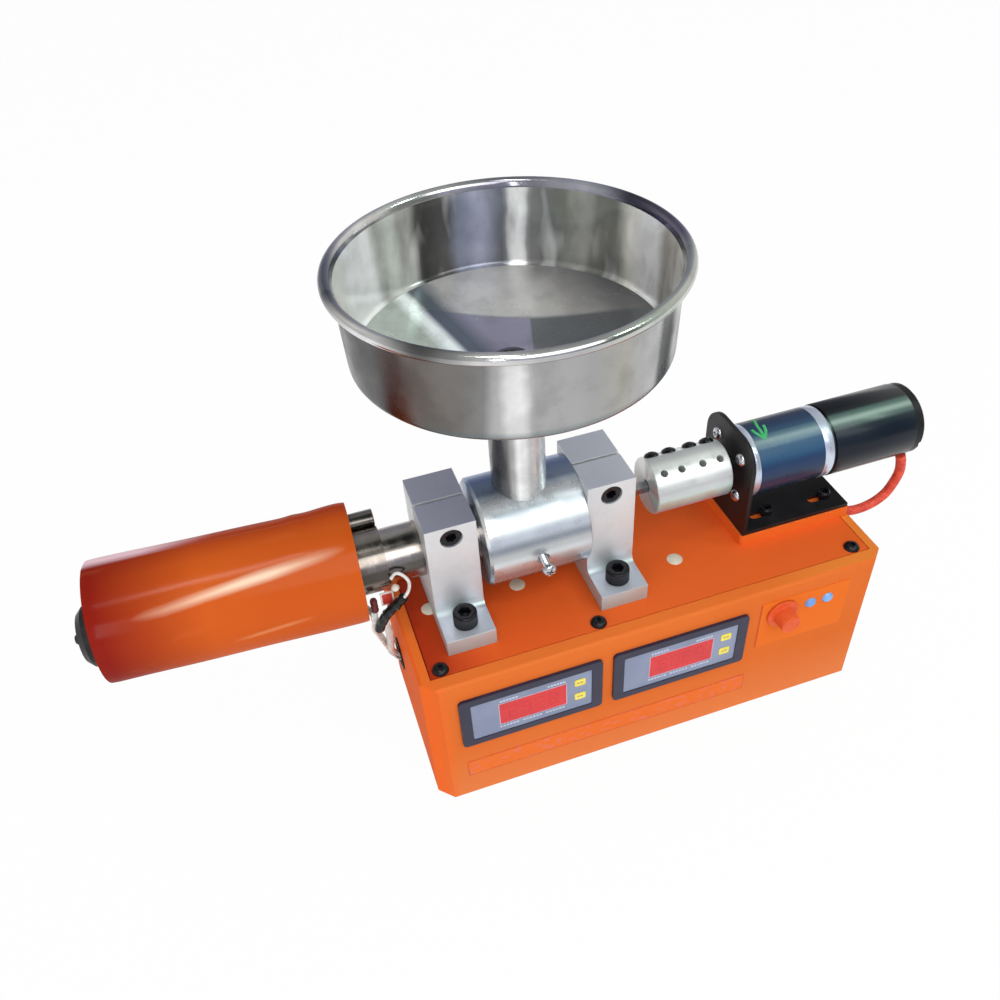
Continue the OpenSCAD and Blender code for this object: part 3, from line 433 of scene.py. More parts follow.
def spun(name, center, stops, rough, grain_depth, metal_share=1.0, through=lin):
    """Spun steel whose base colour carries painted reflections that change round an upright axis."""
    s = Shader(name, grey(200), rough, metal_share)
    turn = s.shaken(s.around(center), s.noise(34, 3, stretch=(1, 1, 0.6)), 0.006)
    s.link(s.ramp(turn, tones(stops, through)), s.bsdf.inputs["Base Color"])
    blotch = s.ramp(s.noise(46, 6), [(0.35, grey(232)), (0.6, grey(255))])
    s.multiply(blotch)
    s.overlay(s.noise(1400, 3, stretch=(1, 1, 6)), grey(240), 0.70, 0.80, 0.25)
    s.rough(s.noise(60, 6), rough * 0.7, rough * 1.5)
    s.bump(s.noise(500, 2, stretch=(1, 1, 8)), grain_depth)
    return s


def bowl_tone(r, g, b):
    """Steel tone that shows as the given colour inside the bowl, for its painted reflections and shade."""
    return tuple(min(1.0, c / 0.52) for c in lin(r, g, b))


# Painted reflections: light and dark bands round the inside wall of the bowl.
bowl_inside = spun("bowl_inside", BOWL_MIDDLE, [
    (0.0, (190, 188, 184)), (0.44, (170, 166, 162)), (0.475, (152, 148, 142)), (0.495, (146, 142, 136)),
    (0.512, (250, 246, 240)), (0.535, (250, 246, 240)), (0.555, (180, 178, 172)), (0.58, (80, 81, 77)),
    (0.60, (94, 94, 90)), (0.612, (124, 124, 120)), (0.625, (118, 119, 114)), (0.65, (88, 90, 88)),
    (0.674, (98, 98, 98)), (0.682, (250, 252, 250)), (0.693, (250, 252, 250)), (0.701, (84, 86, 94)),
    (0.73, (130, 133, 150)), (0.75, (106, 110, 124)), (0.768, (70, 68, 68)), (0.798, (48, 48, 46)),
    (0.812, (138, 138, 134)), (0.822, (124, 124, 120)), (0.834, (162, 166, 160)),
    (0.852, (142, 142, 138)), (0.868, (214, 212, 206)), (0.91, (212, 209, 202)),
    (0.95, (180, 178, 174)), (1.0, (190, 188, 184))], 0.12, 0.000008, 0.25, bowl_tone)
bowl_inside.overlay(bowl_inside.noise(58, 5, stretch=(1, 1, 0.4)), bowl_tone(78, 76, 70), 0.53, 0.69, 0.55)
bowl_inside.overlay(bowl_inside.noise(70, 2, stretch=(1, 1, 0.3)), bowl_tone(240, 238, 232), 0.55, 0.74, 0.42)
bowl_floor = spun("bowl_floor", BOWL_MIDDLE, [(0.0, (136, 134, 138)), (0.5, (134, 132, 130)),
                                              (0.75, (142, 140, 139)), (1.0, (136, 134, 138))],
                  0.2, 0.000008, 0.25, bowl_tone)
# Painted shade: the floor darker towards the right.
bowl_floor.cover(bowl_floor.slant(1, 0.3, 0.036, 0.068), bowl_tone(74, 74, 76))
# Painted shade: the floor darker towards the front.
bowl_floor.cover(bowl_floor.slant(-0.45, -1, -0.0335, -0.0305), bowl_tone(74, 76, 79))
# Painted reflection: a lavender band at the front edge, towards the left.
near_edge = bowl_floor.both(bowl_floor.slant(-0.45, -1, -0.0335, -0.0305),
                            bowl_floor.slant(-1, 0.28, -0.0075, -0.0065))
bowl_floor.cover(near_edge, bowl_tone(104, 101, 118))
# Painted reflection: a lighter green-grey tone on the left of the floor.
bowl_floor.cover(bowl_floor.slant(-1, -0.3, 0.024, 0.028), bowl_tone(136, 142, 138))
# Painted shade: a dark band across the floor.
shade = bowl_floor.both(bowl_floor.slant(1, 0.3, -0.021, -0.017), bowl_floor.slant(-1, -0.3, 0.002, 0.012))
bowl_floor.cover(shade, bowl_tone(56, 64, 74), 0.9)
# Painted highlight: a bright band across the floor.
beam = bowl_floor.both(bowl_floor.slant(1, 0.3, -0.030, -0.025), bowl_floor.slant(-1, -0.3, 0.018, 0.022))
bowl_floor.cover(beam, (0.94, 1.0, 1.0))
bowl_floor.overlay(bowl_floor.noise(44, 6), bowl_tone(62, 62, 64), 0.50, 0.72, 0.42)
# Painted reflections round the outside of the bowl.
bowl_outside = spun("bowl_outside", BOWL_MIDDLE, [
    (0.0, 40), (0.02, 56), (0.045, 76), (0.07, 88), (0.09, (86, 78, 77)), (0.12, (112, 106, 102)),
    (0.155, (122, 119, 116)), (0.175, 136), (0.186, 184), (0.198, 240), (0.206, 244), (0.218, 178),
    (0.25, 174), (0.27, 168), (0.30, (176, 174, 166)), (0.32, 180), (0.336, 188), (0.345, 200),
    (0.353, 120), (0.37, 60), (0.385, 160), (0.5, 150), (1.0, 84)], 0.26, 0.00001)
# Painted reflection: a teal tint round the bowl's lower corner.
corner = bowl_outside.axis("Z", BOWL_LOW.z + 0.015, BOWL_LOW.z + 0.0115)
bowl_outside.cover(corner, lin(92, 112, 116), 0.7)
# Painted reflections and highlights round the rim.
bowl_rim = spun("bowl_rim", BOWL_MIDDLE, [
    (0.0, (96, 98, 110)), (0.05, 196), (0.08, 236), (0.13, 104), (0.19, 232), (0.25, 184),
    (0.33, (204, 210, 203)), (0.42, (190, 194, 190)), (0.48, (120, 116, 138)), (0.56, (70, 70, 84)),
    (0.62, (200, 200, 214)), (0.70, (150, 150, 160)), (0.78, 220), (0.88, 240), (0.96, (130, 134, 146)),
    (1.0, (120, 122, 134))], 0.16, 0.000008)
NECK_LOW, NECK_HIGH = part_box("hopper_neck")
# Painted reflections and a painted highlight round the neck.
neck_tube = spun("neck_tube", ((NECK_LOW.x + NECK_HIGH.x) / 2, (NECK_LOW.y + NECK_HIGH.y) / 2, 0), [
    (0.0, 120), (0.04, 116), (0.09, 100), (0.14, 112), (0.175, 180), (0.21, 255), (0.24, 240),
    (0.28, 200), (0.32, 214), (0.36, 250), (0.42, 255), (0.48, 210), (0.6, 190), (0.8, 150), (1.0, 120)],
                 0.22, 0.00001, 0.75)

by_slot = {
    "orange_case": case_paint, "orange_plate": plate_paint, "riser_orange": riser_paint,
    "strip_film": strip_film, "black_plastic": plastic_black, "black_steel": black,
    "white_plastic": white, "meter_frame": meter_frame, "meter_face": meter_face,
    "display_red": display_red, "key_yellow": key_film, "knob_orange": knob_plastic,
    "lamp_blue": lamp_lens, "block_alloy": alloy, "turned_steel": turned,
    "bowl_steel": bowl_outside, "barrel_steel": barrel_steel, "heater_steel": heater_steel,
    "sleeve_film": film, "insulation_wool": wool, "screw_steel": screw_steel,
    "zinc_screw": zinc, "coupling_alloy": coupling_alloy, "gearbox_blue": gearbox_paint,
    "ring_zinc": ring_zinc, "motor_black": motor_paint, "cable_red": cable_braid,
    "lead_white": lead_white,
}
node_slot = {part["node"]: part["material_slot"] for part in frame["record"]["subparts"]}
for name, slot_name in node_slot.items():
    data = frame["nodes"][name].data
    data.materials.clear()
    data.materials.append(by_slot[slot_name].mat)
for name, finish in (("motor_bracket", bracket_black), ("hopper_neck", neck_tube),
                     ("knob_panel", panel_film),
                     ("die_cap", die_black), ("nozzle", die_black), ("gearbox_flange", bracket_black)):
    frame["nodes"][name].data.materials[0] = finish.mat


# ---------------------------------------------------------------- softened edges
def soften(node, width, segments=2):
    """Rounds the sharp edges of a CAD node with modifiers."""
    obj = frame["nodes"][node]
    weld = obj.modifiers.new("weld", "WELD")
    weld.merge_threshold = 0.01 * MM
    flat = obj.modifiers.new("flat", "DECIMATE")
    flat.decimate_type = "DISSOLVE"
    flat.angle_limit = math.radians(0.5)
    bevel = obj.modifiers.new("bevel", "BEVEL")
    bevel.width = width * MM
    bevel.segments = segments
    bevel.limit_method = "ANGLE"
    bevel.angle_limit = math.radians(28)
    bevel.harden_normals = True


for node, width in (("base_case", 0.5), ("top_plate", 0.3), ("motor_riser", 0.6),
                    ("left_bearing_block", 0.22),
                    ("right_bearing_block", 0.22), ("left_meter_frame", 0.5), ("right_meter_frame", 0.5),
                    ("meter_keys", 0.12), ("motor_bracket", 0.3), ("motor_can", 0.4),
                    ("gearbox_rear_ring", 0.3),
                    ("gearbox_front_ring", 0.3), ("heater_rod", 0.5)):
    soften(node, width)


# ---------------------------------------------------------------- mesh helpers
def piece(name, verts, faces, finish, body="machine", replaces=(), slot_name=None, smooth_angle=38,
          index=None):
    """A mesh object from points in millimetres, which rides on a body."""
    mesh = bpy.data.meshes.new(name)
    mesh.from_pydata([Vector(v) * MM for v in verts], [], faces)
    finishes = finish if isinstance(finish, (list, tuple)) else [finish]
    for f in finishes:
        mesh.materials.append(f.mat)
    if index:
        mesh.polygons.foreach_set("material_index", index)
    mesh.shade_smooth()
    mesh.set_sharp_from_angle(angle=math.radians(smooth_angle))
    mesh.update()
    obj = bpy.data.objects.new(name, mesh)
    bpy.context.scene.collection.objects.link(obj)
    if replaces:
        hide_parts(*replaces)
    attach(obj, body)
    return obj


class Mesh:
    """Collects points and faces of several solids into one piece."""

    def __init__(self):
        self.verts = []
        self.faces = []

    def add(self, verts, faces):
        start = len(self.verts)
        self.verts += [tuple(v) for v in verts]
        self.faces += [tuple(i + start for i in f) for f in faces]

    def loft(self, rings, close=False):
        """Joins rings of equal count; the ends are capped unless close joins them."""
        n = len(rings[0])
        faces = []
        last = len(rings) if close else len(rings) - 1
        for i in range(last):
            a, b = i * n, (i + 1) % len(rings) * n
            faces += [(a + k, a + (k + 1) % n, b + (k + 1) % n, b + k) for k in range(n)]
        if not close:
            faces.append(tuple(range(n - 1, -1, -1)))
            faces.append(tuple((len(rings) - 1) * n + k for k in range(n)))
        self.add([v for ring in rings for v in ring], faces)

    def box(self, low, high):
        (x0, y0, z0), (x1, y1, z1) = low, high
        self.loft([[(x0, y0, z), (x1, y0, z), (x1, y1, z), (x0, y1, z)] for z in (z0, z1)])

    def piece(self, name, finish, **rest):
        return piece(name, self.verts, self.faces, finish, **rest)


def box_mm(node):
    low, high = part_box(node)
    return low / MM, high / MM


def solids(node):
    """(lowest, highest corner) in millimetres of each separate solid in a CAD node, from left to right."""
    mesh = frame["nodes"][node].data
    keys = [tuple(round(c * 1e5) for c in v.co) for v in mesh.vertices]
    parent = {k: k for k in keys}

    def root(k):
        while parent[k] != k:
            parent[k] = parent[parent[k]]
            k = parent[k]
        return k

    for poly in mesh.polygons:
        first = root(keys[poly.vertices[0]])
        for v in poly.vertices[1:]:
            parent[root(keys[v])] = first
    groups = {}
    for key in parent:
        groups.setdefault(root(key), []).append(key)
    boxes = [(Vector(map(min, zip(*g))) / 100, Vector(map(max, zip(*g))) / 100) for g in groups.values()]
    return sorted(boxes, key=lambda b: (round(b[0].x), b[0].y, b[0].z))


def hexagon(t):
    return math.cos(math.pi / 6) / math.cos((t + 0.3) % (math.pi / 3) - math.pi / 6)


def cross(t):
    """A cross-shaped recess, from its arm length of 1 and arm half-width of 0.24."""
    a = (t + 0.35) % (math.pi / 2)
    a = min(a, math.pi / 2 - a)
    return 1.0 if math.tan(a) < 0.24 else 0.24 / math.sin(a)


def knurl(t):
    return 1.0 - 0.035 * abs(math.sin(t * 24))


def turned_rings(profile, sides, place):
    """Rings of a turned shape: each row of the profile is radius, height and, unless round, outline."""
    rings = []
    for radius, height, *outline in profile:
        ring = []
        for k in range(sides):
            t = 2 * math.pi * k / sides
            r = radius * outline[0](t) if outline else radius
            ring.append(place @ Vector((r * math.cos(t), r * math.sin(t), height)))
        rings.append(ring)
    return rings


def upright(x, y, z):
    return Matrix.Translation((x, y, z))


def facing(x, y, z, direction):
    turn = Vector((0, 0, 1)).rotation_difference(Vector(direction)).to_matrix().to_4x4()
    return Matrix.Translation((x, y, z)) @ turn


def cap_head(mesh, place, radius, height, socket, shank, depth, ribbed=True):
    """A socket head cap screw with its head on the plane of place."""
    side = (knurl,) if ribbed else ()
    mesh.loft(turned_rings([
        (shank, -depth), (shank, -0.02), (radius - 0.3, 0), (radius, 0.35),
        (radius, 0.7, *side), (radius, height - 1.5, *side), (radius, height - 1.2),
        (radius - 0.15, height - 0.5), (radius - 0.7, height), (socket + 0.55, height),
        (socket + 0.1, height - 0.35, hexagon), (socket, height * 0.45, hexagon),
        (socket * 0.5, height * 0.4)], 192, place))


def dome_head(mesh, place, radius, height, socket, shank, depth, recess=hexagon):
    """A button head screw with its head on the plane of place."""
    rows = [(shank, -depth), (shank, -0.02), (radius - 0.1, 0), (radius, 0.15)]
    for step in range(1, 7):
        r = radius - (radius - socket - 0.35) * step / 6
        rows.append((r, 0.15 + (height - 0.15) * math.sqrt(1 - (r / radius) ** 2 * 0.98)))
    top = rows[-1][1]
    rows += [(socket, top - 0.15, recess), (socket, top - height * 0.55, recess),
             (socket * 0.4, top - height * 0.62)]
    mesh.loft(turned_rings(rows, 96, place))


def smooth_path(points, steps):
    """The route with its corners rounded, through every one of its points."""
    out = []
    count = len(points)
    for i in range(count - 1):
        a, b, c, d = (Vector(points[min(max(j, 0), count - 1)]) for j in (i - 1, i, i + 1, i + 2))
        for k in range(steps):
            t = k / steps
            out.append(0.5 * (2 * b + (c - a) * t + (2 * a - 5 * b + 4 * c - d) * t ** 2
                              + (3 * b - a - 3 * c + d) * t ** 3))
    out.append(Vector(points[-1]))
    return out


def tube_rings(path, radius, sides):
    """Rings along a path; radius is a number or a function of turn and distance."""
    rings = []
    side = None
    gone = 0.0
    for i, p in enumerate(path):
        along = (path[min(i + 1, len(path) - 1)] - path[max(i - 1, 0)]).normalized()
        side = Vector((0.3, 0.9, 0.2)) if side is None else side
        side = (side - side.dot(along) * along).normalized()
        other = along.cross(side)
        gone += (p - path[i - 1]).length if i else 0
        ring = []
        for k in range(sides):
            t = 2 * math.pi * k / sides
            r = radius(t, gone) if callable(radius) else radius
            ring.append(p + r * (math.cos(t) * side + math.sin(t) * other))
        rings.append(ring)
    return rings


# ---------------------------------------------------------------- cords
def cord_piece(name, points, diameter, finish, node, slot_name, surface=None, sides=20, steps=8,
               smooth_angle=60):
    """A free lead along its route, in millimetres."""
    path = smooth_path(points, steps)
    mesh = Mesh()
    mesh.loft(tube_rings(path, surface or diameter / 2, sides))
    obj = mesh.piece(name, finish, replaces=[node], slot_name=slot_name, smooth_angle=smooth_angle)


CABLE = [(227, -15, 127), (229, -15, 121), (230, -15, 113), (228, -15, 105), (224.5, -15, 98),
         (219, -15, 93.5), (212, -15, 91), (205, -15, 90.5), (198, -15, 91.5), (191, -15, 92),
         (184, -15, 92)]
LEAD_BACK = [(-98.5, -8, 119), (-95, -9, 118), (-93, -10, 113), (-93.5, -10, 106), (-92.5, -8.5, 97),
             (-90.5, -4, 88), (-88, 2, 73), (-84.5, 8, 58), (-80.5, 13, 45.5), (-76, 15, 43)]
LEAD_FRONT = [(-98.5, -10.5, 118), (-95, -11.5, 116.5), (-93.2, -12.3, 111), (-94.5, -12, 103),
              (-93, -8.5, 94),
              (-90, -2, 77.5), (-86.5, 6, 58.5), (-83, 11, 46), (-80, 13.5, 41), (-76, 14.5, 40.5)]
LEAD_LOOP = [(-81, -19, 144), (-78, -18, 146), (-75, -19, 145), (-72.5, -21.5, 142), (-73, -23, 138),
             (-75.5, -24, 134.5), (-79, -24, 131)]
LEAD_GREY = [(-86.5, -21, 123), (-88, -19, 112.5), (-86.5, -12, 97.5), (-86.2, -4, 81), (-86.2, 6, 61),
             (-82.8, 12.8, 47.8), (-76, 15, 43.5)]
TAPE = [(-76.5, -24, 134), (-81, -23, 128.5), (-85, -22, 124), (-88.5, -21, 118.5), (-92, -19.8, 110.5)]


def braided(t, gone):
    """The two-way weave of the cable's sleeving."""
    weave = math.sin(6 * t + gone * 2.2) * math.sin(6 * t - gone * 2.2)
    return 2.86 + 0.13 * weave


def woven(t, gone):
    return 2.2 + 0.07 * math.sin(8 * t + gone * 3.0) * math.sin(8 * t - gone * 3.0)


def build_leads():
    cord_piece("motor_lead", CABLE, 6, cable_braid, "motor_cable", "cable_red", surface=braided, sides=48,
               steps=14, smooth_angle=70)
    cord_piece("heater_lead_back", LEAD_BACK, 1.8, lead_white, "heater_leads", "lead_white")
    cord_piece("heater_lead_front", LEAD_FRONT, 1.8, lead_white, "heater_leads", "lead_white")
    cord_piece("sensor_lead", LEAD_GREY, 4.6, lead_grey, "heater_leads", "lead_white", surface=woven,
               sides=40)
    loop = Mesh()
    loop.loft(tube_rings(smooth_path(LEAD_LOOP, 8), 0.9, 20))
    loop.piece("lead_loop", lead_white, replaces=["heater_leads"], slot_name="lead_white")


build_leads()


def build_tape():
    """Tape wound round the lead, each turn over the last."""
    path = smooth_path(TAPE, 10)

    def wound(t, gone):
        turn = (gone / 5.0 + t / (2 * math.pi)) % 1.0
        return 2.45 + 0.3 * turn + 0.12 * math.sin(3 * t + gone)

    mesh = Mesh()
    mesh.loft(tube_rings(path, wound, 48))
    mesh.piece("lead_tape", tape_black, replaces=["lead_wrap"], slot_name="black_plastic", smooth_angle=50)


def build_connectors():
    crimp, boot, tab, bead = solids("lead_connector")
    where = {"replaces": ["lead_connector"], "slot_name": "white_plastic"}
    low, high = crimp
    mid = (low + high) / 2
    mesh = Mesh()
    half = (high - low) / 2
    rows = ((0.80, 0.0), (0.96, 0.25), (1.0, 1.0), (0.93, 3.0), (0.97, 4.0), (0.93, 5.2), (1.0, 7.4),
            (0.94, 8.6), (0.72, 9.0))
    rings = []
    for size, height in rows:
        ring = []
        for k in range(32):
            t = 2 * math.pi * k / 32
            c, s = math.cos(t), math.sin(t)
            ring.append((mid.x + half.x * size * math.copysign(abs(c) ** 0.45, c),
                         mid.y + half.y * size * math.copysign(abs(s) ** 0.45, s), low.z + height))
        rings.append(ring)
    mesh.loft(rings)
    mesh.piece("crimp", lead_white, **where)
    low, high = boot
    mesh = Mesh()
    mesh.loft(turned_rings([(1.2, 0), (1.7, 0.2), (1.95, 1.2), (1.75, 2.6),
                            (1.95, 3.6), (1.8, 5.0), (1.95, 7.6), (1.6, 8.8),
                            (1.1, 9.0)], 32, upright((low.x + high.x) / 2, (low.y + high.y) / 2, low.z)))
    mesh.piece("crimp_boot", boot_maroon, **where)
    low, high = tab
    mesh = Mesh()
    mesh.box((low.x, low.y + 0.2, low.z), (high.x, high.y - 0.2, high.z))
    mesh.piece("tab_edge", lead_white, **where)
    mesh = Mesh()
    mesh.box((low.x + 0.9, low.y, low.z + 0.9), (high.x - 0.9, high.y, high.z - 0.9))
    mesh.piece("tab", tab_red, **where)
    low, high = bead
    mesh = Mesh()
    rows = [(2.1 * math.sin(a) * (1 + 0.05 * math.sin(5 * a)), -2.1 * math.cos(a))
            for a in (math.pi * (0.5 + k) / 12 for k in range(12))]
    mesh.loft(turned_rings(rows, 32, upright(*((low + high) / 2))))
    mesh.piece("lead_bead", bead_tan, **where)


build_tape()
build_connectors()

# ---------------------------------------------------------------- screws
TOP_Z = box_mm("top_plate")[1].z
AXIS_Z = (box_mm("motor_can")[0].z + box_mm("motor_can")[1].z) / 2


def screw_set(node, name, head, place, sizes, finish=black, slot_name="black_steel", **rest):
    """One piece with a head on each solid of a node; place is worked out from the solid's corners."""
    mesh = Mesh()
    for low, high in solids(node):
        head(mesh, place(low, high, (low + high) / 2), *sizes)
    mesh.piece(name, finish, replaces=[node], slot_name=slot_name, **rest)


def plain_cap_head(*args):
    cap_head(*args, ribbed=False)


def build_screws():
    """Each set's sizes are head radius, head height, socket, shank radius and shank length."""
    screw_set("plate_screws", "plate_screw_heads", dome_head,
              lambda low, high, mid: upright(mid.x, mid.y, TOP_Z), (4.5, 3.0, 1.45, 1.5, 9))
    screw_set("foot_bolts", "foot_bolt_heads", cap_head,
              lambda low, high, mid: upright(mid.x, mid.y, high.z - 8.5), (6.5, 8.5, 3.4, 4, 22.5),
              smooth_angle=50)
    screw_set("clamp_screws", "clamp_screw_heads", plain_cap_head,
              lambda low, high, mid: facing(mid.x, low.y + 8, mid.z, (0, -1, 0)), (5.7, 8, 2.85, 4, 33))
    screw_set("bracket_screws", "bracket_screw_heads", cap_head,
              lambda low, high, mid: upright(mid.x, mid.y, high.z - 4), (3.5, 4, 1.7, 2, 13))
    screw_set("gearbox_screws", "gearbox_screw_heads", dome_head,
              lambda low, high, mid: facing(low.x + 2.4, mid.y, mid.z, (-1, 0, 0)), (3.7, 2.4, 1.45, 2, 8),
              zinc, "zinc_screw")
    turned_to = math.radians(120)
    away = Vector((0, -math.cos(turned_to), math.sin(turned_to)))
    screw_set("coupling_screws", "coupling_screw_heads", dome_head,
              lambda low, high, mid: facing(*(Vector((mid.x, 0, AXIS_Z)) + away * 15.7), away),
              (4.2, 2.4, 1.7, 2, 10), body="drive_line")


build_screws()


def build_housing_screw():
    """Cross-headed screw standing out of the front of the feed housing, a little downhill."""
    low, high = box_mm("housing_screw")
    slope = math.radians(4.5)
    away = Vector((0, -math.cos(slope), -math.sin(slope)))
    base = Vector(((low.x + high.x) / 2, 0, AXIS_Z)) + away * 37.4
    mesh = Mesh()
    rows = [(2.2, -20)]
    for k in range(26):
        rows += [(2.2, -14 + k * 0.5), (1.95, -13.75 + k * 0.5)]
    rows += [(2.2, -0.05), (3.6, 0), (3.9, 0.3), (3.9, 1.0), (3.55, 1.9),
             (3.0, 2.4), (2.5, 2.65), (2.1, 2.55, cross), (1.7, 1.3, cross), (0.5, 1.0)]
    mesh.loft(turned_rings(rows, 96, facing(*base, away)))
    mesh.piece("housing_cross_screw", zinc, replaces=["housing_screw"], slot_name="zinc_screw")


build_housing_screw()


# ---------------------------------------------------------------- hopper
def arc(cx, cz, r, start, end, steps):
    return [(cx + r * math.cos(math.radians(start + (end - start) * k / steps)),
             cz + r * math.sin(math.radians(start + (end - start) * k / steps))) for k in range(steps + 1)]


def build_bowl():
    """The spun bowl: dished floor, tapered wall and a rolled rim, slightly uneven all round."""
    low, high = box_mm("hopper_bowl")
    cx, cy = (low.x + high.x) / 2, (low.y + high.y) / 2
    roll, rim_r = 2.7, 78.3
    corner_r, corner_z, wall_r = 70.9, 13.4, 74.9
    flare, skin, steps = 1.3, 1.2, 8
    top = high.z - low.z - roll
    outside = [(9, 0), (15.3, 0), (40, 4.2)] + arc(corner_r, corner_z, 4, -80, 0, 7)
    outside += [(wall_r + flare * k / steps, corner_z + (top - 2.3 - corner_z) * k / steps)
                for k in range(1, steps + 1)]
    rim = arc(rim_r, top, roll, -140, 165, 22)
    inside = [(75.0 - flare * k / steps, top - skin - (top - skin - corner_z) * k / steps)
              for k in range(steps)]
    inside += arc(corner_r, corner_z, 2.8, 0, -80, 7)
    floor_rows = [(60, 9.0), (45, 6.4), (30, 3.8), (15.3, skin), (9, skin)]
    rows = outside + rim + inside + floor_rows
    tags = [0] * len(outside) + [1] * len(rim) + [2] * (len(inside) - 1) + [3] * (len(floor_rows) + 1)
    sides = 288
    mesh = Mesh()
    rings = []
    for radius, height in rows:
        ring = []
        for k in range(sides):
            t = 2 * math.pi * k / sides
            wave = (0.16 * math.sin(5 * t + 0.7) + 0.10 * math.sin(11 * t + 2.1)
                    + 0.05 * math.sin(23 * t + 1.0))
            wave *= max(0.0, min(1.0, (radius - 60) / 12)) * max(0.0, 1 - abs(height - 28) / 26)
            r = radius + wave
            ring.append((cx + r * math.cos(t), cy + r * math.sin(t), low.z + height))
        rings.append(ring)
    mesh.loft(rings, close=True)
    index = [tags[i // sides] for i in range(len(mesh.faces))]
    piece("bowl", mesh.verts, mesh.faces, [bowl_outside, bowl_rim, bowl_inside, bowl_floor],
          replaces=["hopper_bowl"], slot_name="bowl_steel", smooth_angle=60, index=index)


build_bowl()


# ---------------------------------------------------------------- heater sleeve
def build_sleeve():
    """The film wound round the insulation, with its loose edge along the top."""
    tilt = Matrix.Rotation(math.radians(-1.6), 4, "Z") @ Matrix.Rotation(math.radians(1.6), 4, "Y")
    place = Matrix.Translation((-94.8, 0.4, AXIS_Z + 0.7)) @ tilt @ Matrix.Rotation(math.radians(-90), 4,
                                                                                    "Y")
    length = 128
    seam = math.radians(12)
    sides = 240
    rings = []
    steps = 80
    for i in range(steps + 1):
        s = length * i / steps
        ring = []
        for k in range(sides):
            t = 2 * math.pi * k / sides
            turn = ((t - seam) / (2 * math.pi)) % 1.0
            r = 30.95 + 0.45 * turn
            r += (0.10 * math.sin(3 * t + s * 0.06) * math.sin(s * 0.05 + 1)
                  + 0.05 * math.sin(7 * t - s * 0.09))
            lift = math.exp(-(((t + math.pi) % (2 * math.pi) - math.pi - 0.5) / 0.45) ** 2)
            r += lift * (1.7 * math.exp(-((s - 4) / 15) ** 2) + 0.5 * math.exp(-((s - 27) / 4) ** 2))
            r -= 0.25 * math.exp(-(s / 2.0) ** 2) + 0.25 * math.exp(-((s - length) / 2.0) ** 2)
            ring.append(place @ Vector((r * math.cos(t), r * math.sin(t), s)))
        rings.append(ring)
    inner = [[place @ Vector((29.9 * math.cos(2 * math.pi * k / sides),
                              29.9 * math.sin(2 * math.pi * k / sides), s))
              for k in range(sides)] for s in (length, 0)]
    mesh = Mesh()
    mesh.loft(rings + inner, close=True)
    mesh.piece("sleeve", film, replaces=["heater_sleeve"], slot_name="sleeve_film", smooth_angle=40)


build_sleeve()

# ---------------------------------------------------------------- front panel details
FRONT_Y = box_mm("base_case")[0].y


def flat_box(mesh, x, z, w, h, y, t):
    """A thin plate on a plane that faces the front."""
    mesh.box((x, y - t, z), (x + w, y, z + h))


def flat_outline(mesh, x, z, w, h, line, y, t):
    flat_box(mesh, x, z, w, line, y, t)
    flat_box(mesh, x, z + h - line, w, line, y, t)
    flat_box(mesh, x, z + line, line, h - 2 * line, y, t)
    flat_box(mesh, x + w - line, z + line, line, h - 2 * line, y, t)


PRINT = 0.06  # thickness of printed marks, in millimetres
DIGIT_STEP = 7.6
SEGMENTS = ((0.9, 9.2, 3.4, 0.7), (0.9, 4.6, 3.4, 0.7), (0.9, 0, 3.4, 0.7), (0, 0.8, 0.7, 3.7),
            (0, 5.4, 0.7, 3.7),
            (4.5, 0.8, 0.7, 3.7), (4.5, 5.4, 0.7, 3.7))


def build_meters():
    pale, outline, keys, lit = Mesh(), Mesh(), Mesh(), Mesh()
    for (low, high), face in zip(solids("meter_windows"), ("left_meter_face", "right_meter_face")):
        skin = box_mm(face)[0].y
        flat_outline(outline, low.x - 0.5, low.z - 0.5, high.x - low.x + 1, high.z - low.z + 1, 0.5, skin,
                     0.12)
        for start in (0.5, high.x - low.x - 10.5):
            for k in range(6):
                flat_box(pale, low.x + start + 1.75 * k, high.z + 1.6, 1.3, 1.3, skin, PRINT)
        for k in range(20):
            if k % 7 != 6:
                flat_box(pale, low.x - 0.5 + 1.9 * k, low.z - 3.2, 1.35, 1.2, skin, PRINT)
        for digit in range(4):
            for x, z, w, h in SEGMENTS:
                flat_box(lit, low.x + 5.0 + DIGIT_STEP * digit + x, low.z + 3.6 + z, w, h, low.y, 0.04)
    for low, high in solids("meter_keys"):
        for k in range(2):
            flat_box(keys, low.x + 1.4 + 1.9 * k, (low.z + high.z) / 2 - 0.5, 1.5, 1.1, low.y, 0.05)
    pale.piece("meter_marks", print_pale, slot_name="meter_face")
    outline.piece("window_outlines", outline_pale, slot_name="meter_face")
    keys.piece("key_marks", key_mark, slot_name="key_yellow")
    lit.piece("display_segments", segment_red, slot_name="display_red")


def build_panel_lines():
    lines = Mesh()
    low, high = box_mm("caption_strip")
    flat_outline(lines, low.x, low.z, high.x - low.x, high.z - low.z, 0.3, low.y, 0.04)
    low, high = box_mm("knob_panel")
    flat_box(lines, low.x, low.z, 0.5, high.z - low.z, low.y, 0.04)
    lines.piece("panel_lines", line_red, slot_name="strip_film")


